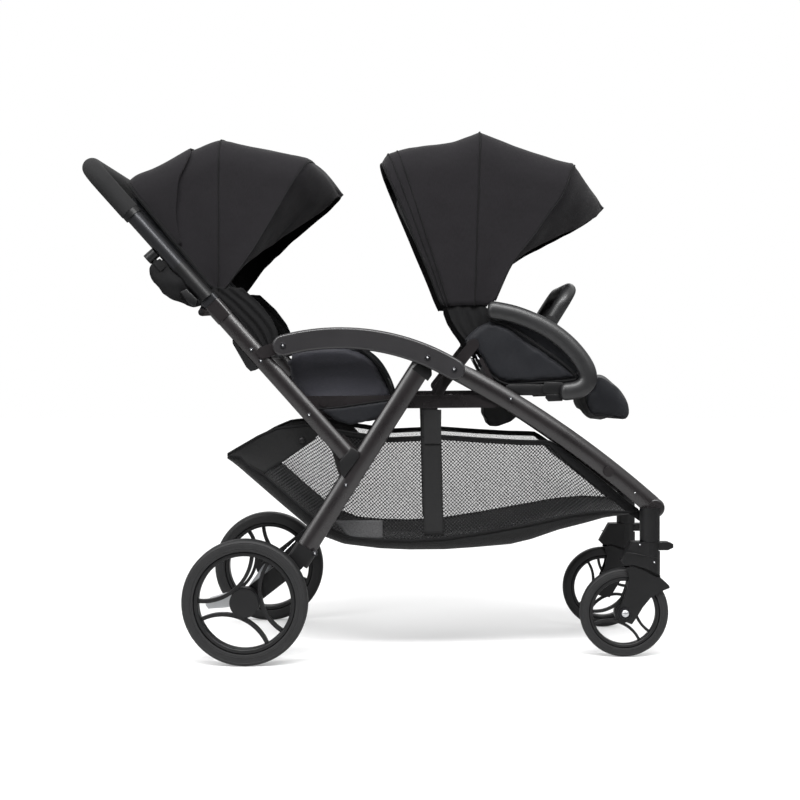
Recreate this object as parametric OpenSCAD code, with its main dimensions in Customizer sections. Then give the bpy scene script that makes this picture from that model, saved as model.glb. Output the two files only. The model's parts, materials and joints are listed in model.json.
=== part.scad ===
// Tandem pushchair: a folding frame with two seats in line, two hoods, a long basket,
// two fixed rear wheels and two swivelling front wheels.
// X points forward, Y to the left, Z up. Millimetres. The origin is on the floor.

/* [Wheels] */
// Radius of a rear wheel over its tyre
rear_wheel_r = 122; // [110:1:126]
// Width of a rear tyre
rear_tyre_w = 36; // [28:1:38]
// Radius of a front wheel over its tyre
front_wheel_r = 88; // [80:1:88]
// Width of a front tyre
front_tyre_w = 24; // [18:1:26]
// Distance of a rear wheel's middle from the middle of the pushchair
rear_track = 270; // [269:1:276]
// Distance of a front wheel's middle from the middle of the pushchair
front_track = 176; // [172:1:178]

/* [Frame tubes] */
// Depth of the arched arm rails, seen from the side
rail_depth = 42; // [36:1:44]
// Depth of the rear legs, seen from the side
leg_depth = 39; // [34:1:40]
// Depth of the front tubes, seen from the side
front_depth = 39; // [34:1:42]
// Depth of the lower push tubes, seen from the side
push_depth = 34; // [30:1:34]
// Thickness of all the oval tubes
tube_t = 18; // [14:1:18]

/* [Handle] */
// Diameter of the bent handle tube
handle_d = 31; // [29:0.5:31]
// Diameter of the foam grip
grip_d = 39; // [35:1:40]

/* [Seats] */
// Half of the width of a seat base
seat_half_w = 184; // [170:1:184]
// Thickness of a padded backrest
backrest_t = 26; // [18:1:28]
// Thickness of a padded seat base
base_t = 26; // [20:1:28]

/* [Hoods] */
// Half of the outer width of a hood
hood_half_w = 186; // [182:1:186]
// Radius of the front hood's rear panel about its hinge
front_hood_r = 418; // [408:1:420]
// Radius of the rear hood's visor about its hinge
rear_hood_r = 321; // [314:1:322]

/* [Basket] */
// Half of the outer width of the basket
basket_half_w = 196; // [180:1:198]
// Thickness of the basket's cloth walls
basket_wall = 4; // [3:0.5:5]

/* [Hidden] */
$fn = 72;

// Colours
coat = "#2c2c2f";
moulded = "#1b1b1d";
cloth = "#3a3a3e";
seat_cloth = "#2d3038";
steel = "#c9c9cb";
pedal_grey = "#b4b6b8";
rubber = "#202022";

// Distances from the middle of the pushchair, taken on one side
push_y = 233;            // middle of the push tubes and the rear legs
rail_in = 245;           // inner face of an arm rail
rail_out = 259;          // outer face of an arm rail
front_top_y = 212;       // middle of a front tube at its upper end
loop_y = 202;            // middle of an arm loop
fit = 0.05;              // radial clearance of a pin in its bore
gap = 0.5;               // space between moving faces

// Points in the side plane, as [x, z]
leg_pivot = [94, 594];
leg_foot = [-149, 211];
leg_lean = atan2(leg_pivot[1] - leg_foot[1], leg_pivot[0] - leg_foot[0]);
rear_axle_at = [-258.4, rear_wheel_r];
caster_x = 537;
front_axle_at = [485.6, front_wheel_r];
rail_centre = [-75, 202];
rail_r = 430;
ear_x = -186;
front_pin_x = 146;
ear_pin = [ear_x, rail_centre[1] + sqrt(rail_r ^ 2 - (ear_x - rail_centre[0]) ^ 2)];
front_pin = [front_pin_x,
             rail_centre[1] + sqrt(rail_r ^ 2 - (front_pin_x - rail_centre[0]) ^ 2)];
front_foot = [547, 295];
knuckle = [-327, 700];
push_foot = [-64, 406];
push_lean = atan2(knuckle[1] - push_foot[1], knuckle[0] - push_foot[0]);
push_run = norm(knuckle - push_foot);
fold_out = 26;           // fold hinge's distance below the push tubes' middle line
fold_pin_r = 3.5;
rivet_r = 3.8;
rivet_head_r = 5.6;
head_low = 229;          // lower end of a head tube
rail_z = 505;            // middle height of a seat rail
rail_rear = [-150, rail_z];
rail_front = [226, 508];

rear_hinge = [-200, 590];
front_hinge = [186, 620];
rear_hood_at = [-320, 716];
rear_lean = 130.8;       // direction of the rear backrest above its hinge
front_lean = 116.6;      // direction of the front backrest above its hinge

// ---------------------------------------------------------------- helpers

// A drawing in the side plane, given thickness between two distances from the middle
module side_plate(y0, y1) {
    translate([0, y1, 0])
        rotate([90, 0, 0])
            linear_extrude(y1 - y0) children();
}

// The same thing on both sides of the pushchair
module both_sides() {
    children();
    mirror([0, 1, 0]) children();
}

// Local X along a direction in the side plane, starting at a point
module lean(at, angle) {
    translate([at[0], 0, at[1]])
        rotate([0, -angle, 0]) children();
}

// A round pin across the pushchair
module cross_pin(at, r, y0, y1) {
    translate([at[0], y1, at[1]])
        rotate([90, 0, 0]) cylinder(r = r, h = y1 - y0);
}

// A slot outline between two points; its flats sit a hair inside its round ends
module slot(p, q, width) {
    flat = width - 0.08;
    translate(p) circle(d = width);
    translate(q) circle(d = width);
    translate(p)
        rotate(atan2(q[1] - p[1], q[0] - p[0]))
            translate([0, -flat / 2]) square([norm(q - p), flat]);
}

// A rectangle about the origin with round corners
module soft_rect(width, height, corner) {
    square([width, height - 2 * corner], center = true);
    square([width - 2 * corner, height], center = true);
    for (a = [-1, 1], b = [-1, 1])
        translate([a * (width / 2 - corner), b * (height / 2 - corner)]) circle(corner);
}

// A disc with soft edges whose axis runs across the pushchair
module soft_disc(at, r, y0, y1, corner) {
    translate([at[0], (y0 + y1) / 2, at[1]])
        rotate([90, 0, 0])
            rotate_extrude()
                intersection() {
                    soft_rect(2 * r, y1 - y0, corner);
                    translate([0, -y1]) square([r, 2 * y1]);
                }
}

// An oval drawn with four arcs; its long sides sit a hair inside its round ends
module oval(deep, thick) {
    end_r = thick * 0.25;
    end_x = deep / 2 - end_r;
    side_r = (end_x ^ 2 + thick ^ 2 / 4 - end_r ^ 2) / (thick - 2 * end_r);
    meet_x = side_r * end_x / (side_r - end_r);
    for (a = [-1, 1]) translate([a * end_x, 0]) circle(end_r);
    intersection() {
        square([2 * meet_x, thick], center = true);
        translate([0, side_r + 0.04 - thick / 2]) circle(side_r, $fn = 144);
        translate([0, thick / 2 - 0.04 - side_r]) circle(side_r, $fn = 144);
    }
}

// A straight oval tube in the side plane
module oval_tube(p, q, depth, thick, yc) {
    lift = atan2(q[1] - p[1], q[0] - p[0]);
    translate([p[0], yc, p[1]])
        rotate([0, 90 - lift, 0])
            linear_extrude(norm(q - p)) oval(depth, thick);
}

// A solid turned about an axis across the pushchair through a point, between two angles
module sweep_arc(at, from, to, around = 144) {
    translate([at[0], 0, at[1]])
        rotate([90, 0, 0])
            rotate([0, 0, from])
                rotate_extrude(angle = to - from, $fn = around) children();
}

// ---------------------------------------------------------------- frame pins

// Pins that tie the arm rails to the push tubes, legs and front tubes, on one side
module rail_pins(r) {
    cross_pin(ear_pin, r, 226, 262);
    cross_pin(leg_pivot, r, 222, 262);
    cross_pin(front_pin, r, 199, 262);
}

// Pins that tie the seat rails to the push tubes and the front tubes, on one side
module seat_pins(r) {
    cross_pin(rail_rear, r, 191.2, 224);
}

// Pin of the fold hinge in each push tube
module fold_pins(r) {
    lean(knuckle, push_lean)
        translate([0, 244, fold_out])
            rotate([90, 0, 0]) cylinder(r = r, h = 22);
}

// ---------------------------------------------------------------- frame

// Arched armrest rail, flat on both faces, with rounded ends
module arm_rail() {
    rail_t = rail_out - rail_in;
    front_angle = atan2(front_pin[1] - rail_centre[1], front_pin[0] - rail_centre[0]);
    rear_angle = atan2(ear_pin[1] - rail_centre[1], ear_pin[0] - rail_centre[0]);
    difference() {
        union() {
            sweep_arc(rail_centre, front_angle, rear_angle, 360)
                translate([rail_r, -(rail_in + rail_out) / 2])
                    soft_rect(rail_depth, rail_t, 5);
            for (end = [ear_pin, front_pin])
                soft_disc(end, rail_depth / 2 - 0.15, rail_in + 0.1, rail_out - 0.1, 4.8);
        }
        rail_pins(rivet_r + fit);
    }
}

module arm_rails() {
    color(coat) both_sides() arm_rail();
}

// Lower push tube with the knuckle's lower block, its two hinge ears and the rail's ear
module lower_push_tube() {
    difference() {
        union() {
            oval_tube(push_foot, knuckle + 38 * (push_foot - knuckle) / push_run,
                      push_depth, tube_t, push_y);
            lean(knuckle, push_lean)
                translate([-20 - gap / 2, push_y, 0])
                    rotate([0, 90, 0])
                        linear_extrude(40 - gap, center = true)
                            soft_rect(push_depth + 2, tube_t + 4, 8);
            side_plate(226, 240)
                translate(knuckle)
                    rotate(push_lean) {
                        slot([-12, 12], [-1, fold_out], 14);
                    }
            side_plate(228, 244.5)
                slot(ear_pin, [ear_x - 40, ear_pin[1] - 14], 24);
        }
        fold_pins(fold_pin_r + fit);
        rail_pins(rivet_r + fit);
        seat_pins(rivet_r + fit);
        // room for the end of the upper half
        side_plate(225, 241)
            translate(knuckle)
                rotate(push_lean)
                    translate([-gap / 2, 4]) square([15, push_depth / 2 - 3 + gap]);
        // slot for the tongue of the upper half
        side_plate(230, 236)
            translate(knuckle)
                rotate(push_lean)
                    translate([-10, 18]) square([22, 22]);
    }
}

module lower_push_tubes() {
    color(coat) both_sides() lower_push_tube();
}

// Front tube: a slightly bowed oval tube that runs in towards the head tube
module front_tube_body(extra) {
    run_in = atan2(front_top_y - front_track, front_foot[0] - front_pin[0]);
    flat_run = (front_foot[0] - front_pin[0]) / cos(run_in);
    drop = front_pin[1] - front_foot[1];
    chord = norm([flat_run, drop]);
    bow = 15;
    bow_r = (chord ^ 2 / 4 + bow ^ 2) / (2 * bow);
    half = asin(chord / 2 / bow_r);
    tilt = atan2(drop, flat_run);
    centre = [flat_run / 2 - (bow_r - bow) * sin(tilt), -drop / 2 - (bow_r - bow) * cos(tilt)];
    translate([front_pin[0], front_top_y, front_pin[1]])
        rotate([0, 0, -run_in]) {
            sweep_arc(centre, 90 - tilt - half, 90 - tilt + half, 720)
                translate([bow_r, 0])
                    oval(front_depth + extra, tube_t + extra);
            for (end = [[0, 0], [flat_run, -drop]])
                soft_disc(end, (front_depth + extra) / 2 - 0.15, -(tube_t + extra) / 2 + 0.1,
                          (tube_t + extra) / 2 - 0.1, tube_t * 0.34);
        }
}

module front_tubes() {
    color(coat) both_sides()
        difference() {
            front_tube_body(0);
            rail_pins(rivet_r + fit);
            cross_pin([452, 368], 10 + fit, 0, 230);
        }
}

// Upright sockets that the front forks turn in
module head_tubes() {
    color(moulded) both_sides()
        difference() {
            translate([caster_x, front_track, head_low]) cylinder(r = 20, h = 80);
            translate([caster_x, front_track, head_low - 1]) cylinder(r = 8 + fit, h = 36);
            front_tube_body(0.2);
            // the tube's upper side is clear of the socket
            translate([caster_x - 40, front_track - 40, 296]) cube(80);
        }
}

// Straight tube that ties the two front tubes above the basket's mouth
module front_cross_tube() {
    color(coat) cross_pin([452, 368], 10, -200, 200);
}

// Flat bars that carry both seats
module seat_rails() {
    color(coat) both_sides()
        difference() {
            side_plate(192, 202) slot(rail_rear, rail_front, 26);
            seat_pins(rivet_r + fit);
            for (x = [-110, 20, 150]) cross_pin([x, rail_z], 8 + fit, 180, 220);
            front_tube_body(0.5);
        }
}

// Three tubes across the seat rails, under the seats
module seat_cross_tubes() {
    color(coat)
        for (x = [-110, 20, 150]) cross_pin([x, rail_z], 8, -204, 204);
}

// Pins, heads and spacers of the frame's riveted joints
module frame_rivets() {
    color(steel) both_sides() {
        rail_pins(rivet_r);
        seat_pins(rivet_r);
        fold_pins(fold_pin_r);
        cross_pin(front_pin, 11, front_top_y + 12, rail_in - 0.2);
        for (at = [ear_pin, leg_pivot, front_pin])
            soft_disc(at, rivet_head_r, rail_out, 261.5, 1);
        cross_pin(rail_rear, 11, 202, 223.5);
    }
}

// Hook plates under the lower push tubes that catch the studs of the folded handle
module latch_hooks() {
    color(moulded) both_sides()
        side_plate(230, 236)
            translate(knuckle)
                rotate(push_lean)
                    polygon([[-80, 17.2], [-86, 22], [-138, 33], [-150, 32],
                             [-154, 24], [-156, 17.2]]);
}

// Brackets on the inside of the push tubes' feet; the rear legs rest against them
module leg_brackets() {
    color(coat) both_sides()
        side_plate(217, 223.6)
            polygon([[-95, 418], [-70, 444], [-44, 414], [-34, 402], [-40, 380],
                     [-66, 354], [-80, 366]]);
}

// ---------------------------------------------------------------- seats

// A padded board across the pushchair, from a side outline
module board(half_w) {
    side_plate(-half_w, half_w) children();
}

module rear_seat_base() {
    color(seat_cloth) board(seat_half_w)
        slot([-166, 527], [16, 531], base_t);
}

module front_seat_base() {
    color(seat_cloth) board(seat_half_w)
        slot([212, 560], [394, 560], base_t);
}

// Cloth sides of the rear seat, under the arm rails
module rear_seat_sides() {
    color(seat_cloth) both_sides()
        difference() {
            side_plate(186.5, 190.5)
                polygon([[-188, 590], [-160, 612], [-33, 608], [-9, 589], [11, 559],
                         [23, 530], [26, 513], [-39, 502], [-118, 492], [-180, 492]]);
            for (x = [-110, 20]) cross_pin([x, rail_z], 8.3, 180, 195);
        }
}

// Cloth sides of the front seat, inside the arm loops
module front_seat_sides() {
    color(seat_cloth) both_sides()
        side_plate(186.5, 190.5)
            polygon([[198, 640], [216, 668], [256, 656], [318, 622], [380, 566],
                     [388, 548], [300, 543], [252, 543], [214, 590]]);
}

// Bent tube beside the front seat, seen as a long hook from the side
loop_path = [[214, 690], [236, 686], [264, 680], [287, 673], [309, 664], [327, 655],
             [343, 644], [360, 633], [376, 621], [390, 608], [402, 593], [410, 581],
             [413.5, 569], [413.5, 559], [411, 549], [405, 540], [397, 533], [387, 529],
             [376, 528]];

module arm_loop() {
    tube_sweep([for (p = loop_path) [p[0], loop_y, p[1]]], 9.9, 18, 18);
}

module arm_loops() {
    color(coat) both_sides() arm_loop();
}

// A round or oval tube swept along points as one closed mesh
module tube_sweep(path, r, sides, deep = 0) {
    last = len(path) - 1;
    across = deep > 0 ? deep : r;
    function unit(v) = v / norm(v);
    function along(i) = unit(path[min(i + 1, last)] - path[max(i - 1, 0)]);
    function side_of(i) = unit(cross(along(i), [0.013, 1, 0.007]));
    function up_of(i) = cross(side_of(i), along(i));
    points = [for (i = [0:last], k = [0:sides - 1])
        path[i] + across * cos(360 * k / sides) * side_of(i)
        + r * sin(360 * k / sides) * up_of(i)];
    walls = [for (i = [0:last - 1], k = [0:sides - 1])
        let(n = (k + 1) % sides)
        [i * sides + k, i * sides + n, (i + 1) * sides + n, (i + 1) * sides + k]];
    polyhedron(points, [each walls, [for (k = [sides - 1:-1:0]) k],
                        [for (k = [0:sides - 1]) last * sides + k]]);
}

// Links from the front recline hinge to the seat rails, with their struts and plates
module recline_links() {
    color(coat) both_sides()
        difference() {
            union() {
                side_plate(192.2, 197) slot(front_hinge, [117.4, 531.9], 22);
                side_plate(196.4, 201) slot([200, 590], [222, 548], 8);
            }
            front_tube_body(0.5);
        }
}

// ---------------------------------------------------------------- basket

// Side outline of the basket's cloth
module basket_outline() {
    polygon([[-300, 411], [-233, 450], [-138, 462], [-60, 446], [20, 433], [120, 438],
             [327, 431], [440, 340], [505, 282], [466, 272], [387, 248], [318, 231],
             [258, 220], [139, 211], [40, 212], [-19, 216], [-69, 226], [-100, 242],
             [-158, 292], [-290, 387]]);
}

// Plan of the basket: full width behind, narrower between the front tubes
module basket_plan(inset) {
    half = basket_half_w - inset;
    nose = 156 - inset;
    polygon([[-310, -half], [300, -half], [520, -nose], [520, nose], [300, half],
             [-310, half]]);
}

module basket() {
    color(cloth)
        difference() {
            intersection() {
                board(basket_half_w) basket_outline();
                translate([0, 0, 150]) linear_extrude(400) basket_plan(0);
            }
            intersection() {
                translate([0, 0, basket_wall])
                    board(basket_half_w) basket_outline();
                translate([0, 0, 150]) linear_extrude(400) basket_plan(basket_wall);
            }
        }
}

// Webbing straps that hang the basket from the seat rails
module basket_straps() {
    color(cloth) both_sides()
        translate([88, 198, 424]) cube([34, 2, 67]);
}

// Crotch straps with their buckles, one on each seat
module harness_buckles() {
    color(moulded)
        for (x = [-70, 300])
            translate([x, 0, 573 - (x < 0 ? 30 : 0)])
                rotate([0, -20, 0]) {
                    translate([-3, -19, 2]) cube([6, 38, 50]);
                    translate([-8, -26, 54]) cube([16, 52, 44]);
                }
}

// ---------------------------------------------------------------- handle

grip_at = 240;           // where the grip starts, along the tube from the knuckle
bar_at = 362;            // middle of the crossbar, along the tube from the knuckle
bend_r = 46;             // radius of the handle's corners

// A ring swept along the handle's U, between a distance from the knuckle and the crossbar
module handle_bend(from, r_out, r_in) {
    lean(knuckle, push_lean) {
        both_sides()
            translate([0, push_y, 0]) {
                translate([from, 0, 0])
                    rotate([0, 90, 0])
                        difference() {
                            cylinder(r = r_out, h = bar_at - bend_r - from);
                            if (r_in > 0)
                                translate([0, 0, -1])
                                    cylinder(r = r_in, h = bar_at - bend_r - from + 2);
                        }
                translate([bar_at - bend_r, -bend_r, 0])
                    rotate_extrude(angle = 90)
                        translate([bend_r, 0])
                            difference() {
                                circle(r_out);
                                if (r_in > 0) circle(r_in);
                            }
            }
        translate([bar_at, push_y - bend_r, 0])
            rotate([90, 0, 0])
                difference() {
                    cylinder(r = r_out, h = 2 * (push_y - bend_r));
                    if (r_in > 0)
                        translate([0, 0, -1]) cylinder(r = r_in, h = 2 * push_y);
                }
    }
}

// U-shaped push tube with the upper half of each knuckle
module handle_tube() {
    color(coat) {
        handle_bend(13, handle_d / 2 - 0.01, 0);
        difference() {
            lean(knuckle, push_lean)
                both_sides() {
                    translate([6.6, push_y, 0])
                        rotate([0, 90, 0])
                            linear_extrude(12.7, center = true)
                                soft_rect(push_depth + 2, tube_t + 4, 8);
                    translate([0, 235.7, 0])
                        rotate([90, 0, 0])
                            linear_extrude(5.4) {
                                translate([0, fold_out]) circle(r = 7);
                                polygon([[1, 12], [12.9, 12], [7, fold_out], [0, fold_out]]);
                            }
                }
            both_sides() fold_pins(fold_pin_r + fit);
        }
    }
}

module handle_collars() {
    color(moulded)
        lean(knuckle, push_lean)
            both_sides()
                translate([228, push_y, 0])
                    rotate([0, 90, 0])
                        difference() {
                            cylinder(r = 18.5, h = grip_at - 228);
                            translate([0, 0, -1]) cylinder(r = handle_d / 2, h = 20);
                        }
}

module handle_grip() {
    color(rubber) handle_bend(grip_at, grip_d / 2, handle_d / 2);
}

// Clamps with a storage stud under each push tube, and the strap block beside them
module handle_pouch() {
    color(moulded)
        lean(knuckle, push_lean)
            both_sides() {
                translate([147, push_y, 15.6]) cylinder(r = 11, h = 22);
                translate([112, push_y - 10, 17.6]) cube([20, 20, 15]);
            }
}

// Locking sleeves around the knuckles' upper side
module lock_sleeves() {
    color(moulded)
        lean(knuckle, push_lean)
            both_sides()
                translate([13.5, push_y, 0])
                    rotate([0, 90, 0])
                        difference() {
                            cylinder(r = 17.2, h = 84);
                            translate([0, 0, -1]) cylinder(r = handle_d / 2 + fit, h = 90);
                        }
}

// ---------------------------------------------------------------- rear legs and brake

module rear_leg_tube(extra) {
    oval_tube(leg_pivot, leg_foot, leg_depth + extra, tube_t + extra, push_y);
}

// Rear legs, each with a rounded top that turns on the arm rail's pin
module rear_legs() {
    color(coat) both_sides()
        difference() {
            union() {
                rear_leg_tube(0);
                soft_disc(leg_pivot, leg_depth / 2 - 0.15, push_y - tube_t / 2 + 0.1,
                          push_y + tube_t / 2 - 0.1, tube_t * 0.34);
            }
            cross_pin(leg_pivot, rivet_r + fit, 200, 270);
            cross_pin([-125, 213], 4 + fit, 200, 270);
        }
}

// Moulded brackets that join the feet of the legs to the rear axle
module axle_brackets() {
    color(moulded) both_sides()
        difference() {
            union() {
                side_plate(219, 247)
                    slot(rear_axle_at, [-163, 196], 36);
                lean(leg_foot, leg_lean)
                    translate([-2, push_y, 0])
                        rotate([0, 90, 0])
                            linear_extrude(34, center = true)
                                soft_rect(leg_depth + 6, tube_t + 10, 6);
            }
            rear_leg_tube(0.04);
            cross_pin(rear_axle_at, 12 + fit, 200, 270);
            cross_pin([-125, 213], 4 + fit, 200, 270);
        }
}

// Cross tube with a thinner stub at each end for the wheels
module rear_axle() {
    color(pedal_grey) {
        cross_pin(rear_axle_at, 12, -247, 247);
        both_sides() cross_pin(rear_axle_at, 6, 247, rear_track + 14);
    }
}

module leg_rivets() {
    color(steel) both_sides() {
        cross_pin([-125, 213], 4, 217, 247);
        soft_disc([-125, 213], rivet_head_r, 247, 249.4, 1);
    }
}

// Bent wire springs of the brake, one leg of the V on each side of the bracket
module brake_spring() {
    color(steel) both_sides() {
        tube_sweep([[-229, 215, 152], [-196, 215, 184], [-182, 215, 166]], 1.6, 8);
    }
}

// Foot pedal that turns on the rear axle
module brake_pedal() {
    color(pedal_grey)
        difference() {
            union() {
                side_plate(-214, -178) {
                    translate(rear_axle_at) circle(r = 17);
                    translate(rear_axle_at)
                        polygon([[-8, 14], [-46, 5], [-78, -4], [-84, -14], [-78, -22],
                                 [-50, -20], [-8, -15]]);
                }
            }
            cross_pin(rear_axle_at, 12 + fit, -230, -160);
        }
}

// ---------------------------------------------------------------- wheels

// Three thin bowed spokes between a hub and a rim
module bowed_spokes(rim_in, near, width, across) {
    half = 48.5;
    sag = rim_in * cos(half) - near;
    bow_r = (pow(rim_in * sin(half), 2) + sag ^ 2) / (2 * sag);
    rotate([90, 0, 0])
        linear_extrude(across, center = true)
            intersection() {
                circle(rim_in + 0.5);
                for (a = [130, 11, 250])
                    rotate(a)
                        translate([near + bow_r, 0])
                            difference() {
                                circle(bow_r + width / 2);
                                circle(bow_r - width / 2);
                            }
            }
}

// A ring about the wheel's axle from a drawing of radius against width
module wheel_ring() {
    rotate([90, 0, 0]) rotate_extrude($fn = 96) children();
}

// Rim, spokes and hub in one moulding, with its hub cap outward (towards -Y)
module wheel_rim(rim_out, rim_in, across, hub_r, bore_r, near, spoke_w, past) {
    difference() {
        union() {
            wheel_ring()
                translate([(rim_in + rim_out) / 2, 0])
                    soft_rect(rim_out - rim_in, across, 3);
            bowed_spokes(rim_in, near, spoke_w, across * 0.5);
            rotate([90, 0, 0]) cylinder(r = hub_r, h = across * 0.9, center = true);
            wheel_ring()
                translate([0, across * 0.45 - 0.5]) square([hub_r - 2, 4.5]);
        }
        translate([0, across, 0])
            rotate([90, 0, 0]) cylinder(r = bore_r, h = across * 1.45 + past);
    }
}

module tyre(outer_r, inner_r, width) {
    wheel_ring()
        difference() {
            translate([(outer_r + inner_r) / 2 - 3, 0])
                soft_rect(outer_r - inner_r + 6, width, 9.5);
            translate([0, -width]) square([inner_r, 2 * width]);
        }
}

module at_rear_wheel(side) {
    translate([rear_axle_at[0], side * rear_track, rear_axle_at[1]])
        rotate([0, 0, side > 0 ? 180 : 0]) children();
}

module at_front_wheel(side) {
    translate([front_axle_at[0], side * front_track, front_axle_at[1]])
        rotate([0, 0, side > 0 ? 180 : 0]) children();
}

module rear_rim(side) {
    color(moulded)
        at_rear_wheel(side) wheel_rim(99, 89.5, 30, 29, 6 + fit, 31, 7, 0.8);
}

module rear_tyre(side) {
    color(rubber) at_rear_wheel(side) tyre(rear_wheel_r, 99, rear_tyre_w);
}

module front_rim(side) {
    color(moulded)
        at_front_wheel(side) wheel_rim(70.5, 62.5, 20, 20, 5 + fit, 22, 5.5, 5);
}

module front_tyre(side) {
    color(rubber) at_front_wheel(side) tyre(front_wheel_r, 70.5, front_tyre_w);
}

// ---------------------------------------------------------------- front forks

// Swivelling block under a head tube, with its stem
module caster_housing(side) {
    color(moulded)
        translate([0, side * front_track, 0]) {
            difference() {
                intersection() {
                    side_plate(-20, 20)
                        polygon([[499, head_low - gap], [558, head_low - gap], [558, 162],
                                 [531, 175], [502, 183], [486, 181], [477, 190]]);
                    translate([0, 0, 150]) linear_extrude(90) {
                        translate([caster_x, 0]) circle(r = 20.5);
                        translate([486, 0]) circle(r = 12);
                        polygon([[486, -12], [caster_x, -20.5], [caster_x, 20.5], [486, 12]]);
                    }
                }
                swivel_pocket();
            }
            translate([caster_x, 0, head_low - 4]) cylinder(r = 8, h = 34);
        }
}

// Space in the front of the housing for the lock's tab
module swivel_pocket() {
    translate([551, -13.4, 209]) cube([20, 26.8, 30]);
}

// Fork with two side blades and a mudguard over the wheel
module caster_fork(side) {
    blade_in = front_tyre_w / 2 + 1.6;
    blade_out = blade_in + 4.5;
    color(moulded)
        translate([0, side * front_track, 0]) {
            difference() {
                union() {
                    for (y = [-blade_out, blade_in])
                        side_plate(y, y + blade_out - blade_in) {
                            polygon([[487, 178], [502, 180], [524, 172], [545, 161], [559, 156],
                                     [573, 143], [574, 138], [561, 133], [536, 118],
                                     [521, 100], [509, 80], [499, 66], [474, 76],
                                     [477, 104], [490, 138], [494, 160]]);
                            translate(front_axle_at) circle(r = 15);
                        }
                    sweep_arc(front_axle_at, 33, 83.5)
                        translate([front_wheel_r + 2.5, -blade_in - 0.1])
                            square([4, 2 * blade_in + 0.2]);
                    side_plate(-8, 8)
                        intersection() {
                            polygon([[494, 180.4], [502, 182.4], [531, 174.4], [557, 161.8],
                                     [557, 140], [490, 150]]);
                            difference() {
                                square(900);
                                translate(front_axle_at) circle(r = front_wheel_r + 5);
                            }
                        }
                }
                cross_pin(front_axle_at, 5 + fit, -40, 40);
            }
            cross_pin(front_axle_at, 5, -blade_out - 1, blade_out + 1);
            for (y = [-blade_out - 3, blade_out])
                cross_pin(front_axle_at, 8, y, y + 3);
        }
}

// Small lever on the front of the housing that stops the fork swivelling
module swivel_lock(side) {
    color(moulded)
        translate([0, side * front_track, 0])
            side_plate(-13, 13)
                polygon([[552.5, 212], [571, 212], [582, 217], [582, 224], [572, 228],
                         [561, 228], [552.5, 226]]);
}

// ---------------------------------------------------------------- backrests

module rear_backrest() {
    color(seat_cloth)
        lean(rear_hinge, rear_lean) board(168) slot([18, 12], [440, 12], backrest_t);
}

module front_backrest() {
    color(seat_cloth)
        lean(front_hinge, front_lean) board(162) slot([22, -15], [364, -15], backrest_t);
}

// ---------------------------------------------------------------- hoods

wall = 3;                // thickness of a hood's cloth panel
step = 3.8;              // side step from one panel to the next
rear_hood_cuts = [129, 90, 57, 43];
front_hood_cuts = [116.6, 88, 60.3, 45.7];
bow_turn = 1.6;          // angle that a bow's rib takes up
rear_hood_radii = [rear_hood_r - 16, rear_hood_r - 8, rear_hood_r];
front_hood_radii = [front_hood_r, front_hood_r - 5, front_hood_r - 14];
rear_hood_widths = [hood_half_w - 2 * step, hood_half_w - step, hood_half_w];
front_hood_widths = [hood_half_w, hood_half_w - step, hood_half_w - 2 * step];

// Half of an arch: the area between the side walls and under the roof
module arch_area(r_low, r_top, half, corner) {
    translate([r_low, -half]) square([r_top - corner - r_low, 2 * half]);
    translate([r_low, -half + corner]) square([r_top - r_low, 2 * (half - corner)]);
    for (s = [-1, 1])
        translate([r_top - corner, s * (half - corner)]) circle(corner);
}

// One panel of a hood, turned about the hood's hinge between two angles
module hood_panel(at, from, to, r_low, r_top, half) {
    sweep_arc(at, from, to)
        difference() {
            arch_area(r_low, r_top, half, 52);
            arch_area(r_low - 1, r_top - wall, half - wall, 52 - wall);
        }
}

// Two arms that carry a bow down to the hinge
module bow_arms(at, angle, reach, half) {
    both_sides()
        difference() {
            union() {
                lean(at, angle)
                    translate([0, half - wall + 0.1, -6]) cube([reach, wall - 0.2, 12]);
                cross_pin(at, 13, half - wall, half);
            }
            cross_pin(at, 4 + fit, 150, 200);
        }
}

// A bow's rib reaches below the panels' hem, where its arms take hold
rib_drop = 6;

module rear_hood_part(i, from, to, low) {
    hood_panel(rear_hood_at, from, to, low, rear_hood_radii[i], rear_hood_widths[i]);
}

module front_hood_part(i, from, to, low) {
    hood_panel(front_hinge, from, to, low, front_hood_radii[i], front_hood_widths[i]);
}

hem = 60;                // lower edge of a hood's panels, from the hinge
front_hem = 92;

module rear_hood_rear() {
    color(cloth) {
        rear_hood_part(0, rear_hood_cuts[1] + 0.2, rear_hood_cuts[0], hem);
        bow_arms(rear_hood_at, rear_hood_cuts[0] - 9, hem + 4, rear_hood_widths[0]);
        both_sides() {
            cross_pin(rear_hood_at, 4, 168.2, hood_half_w + 1);
        }
    }
}

module rear_hood_mid() {
    color(cloth)
        rear_hood_part(1, rear_hood_cuts[2] + 0.2, rear_hood_cuts[1] - bow_turn, hem);
}

module rear_hood_bow_mid() {
    color(coat) {
        rear_hood_part(1, rear_hood_cuts[1] - bow_turn, rear_hood_cuts[1], hem - rib_drop);
        bow_arms(rear_hood_at, rear_hood_cuts[1] - bow_turn / 2, hem - 3.3, rear_hood_widths[1]);
    }
}

module rear_hood_visor() {
    color(cloth)
        rear_hood_part(2, rear_hood_cuts[3], rear_hood_cuts[2] - bow_turn, hem);
}

module rear_hood_bow_front() {
    color(coat) {
        rear_hood_part(2, rear_hood_cuts[2] - bow_turn, rear_hood_cuts[2], hem - rib_drop);
        bow_arms(rear_hood_at, rear_hood_cuts[2] - bow_turn / 2, hem - 3.3, rear_hood_widths[2]);
    }
}

module front_hood_rear() {
    color(cloth) {
        front_hood_part(0, front_hood_cuts[1] + 0.2, front_hood_cuts[0], front_hem);
        bow_arms(front_hinge, front_hood_cuts[0] - 5, front_hem + 4, front_hood_widths[0]);
        both_sides() cross_pin(front_hinge, 4, 168.2, hood_half_w + 0.3);
    }
}

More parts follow.
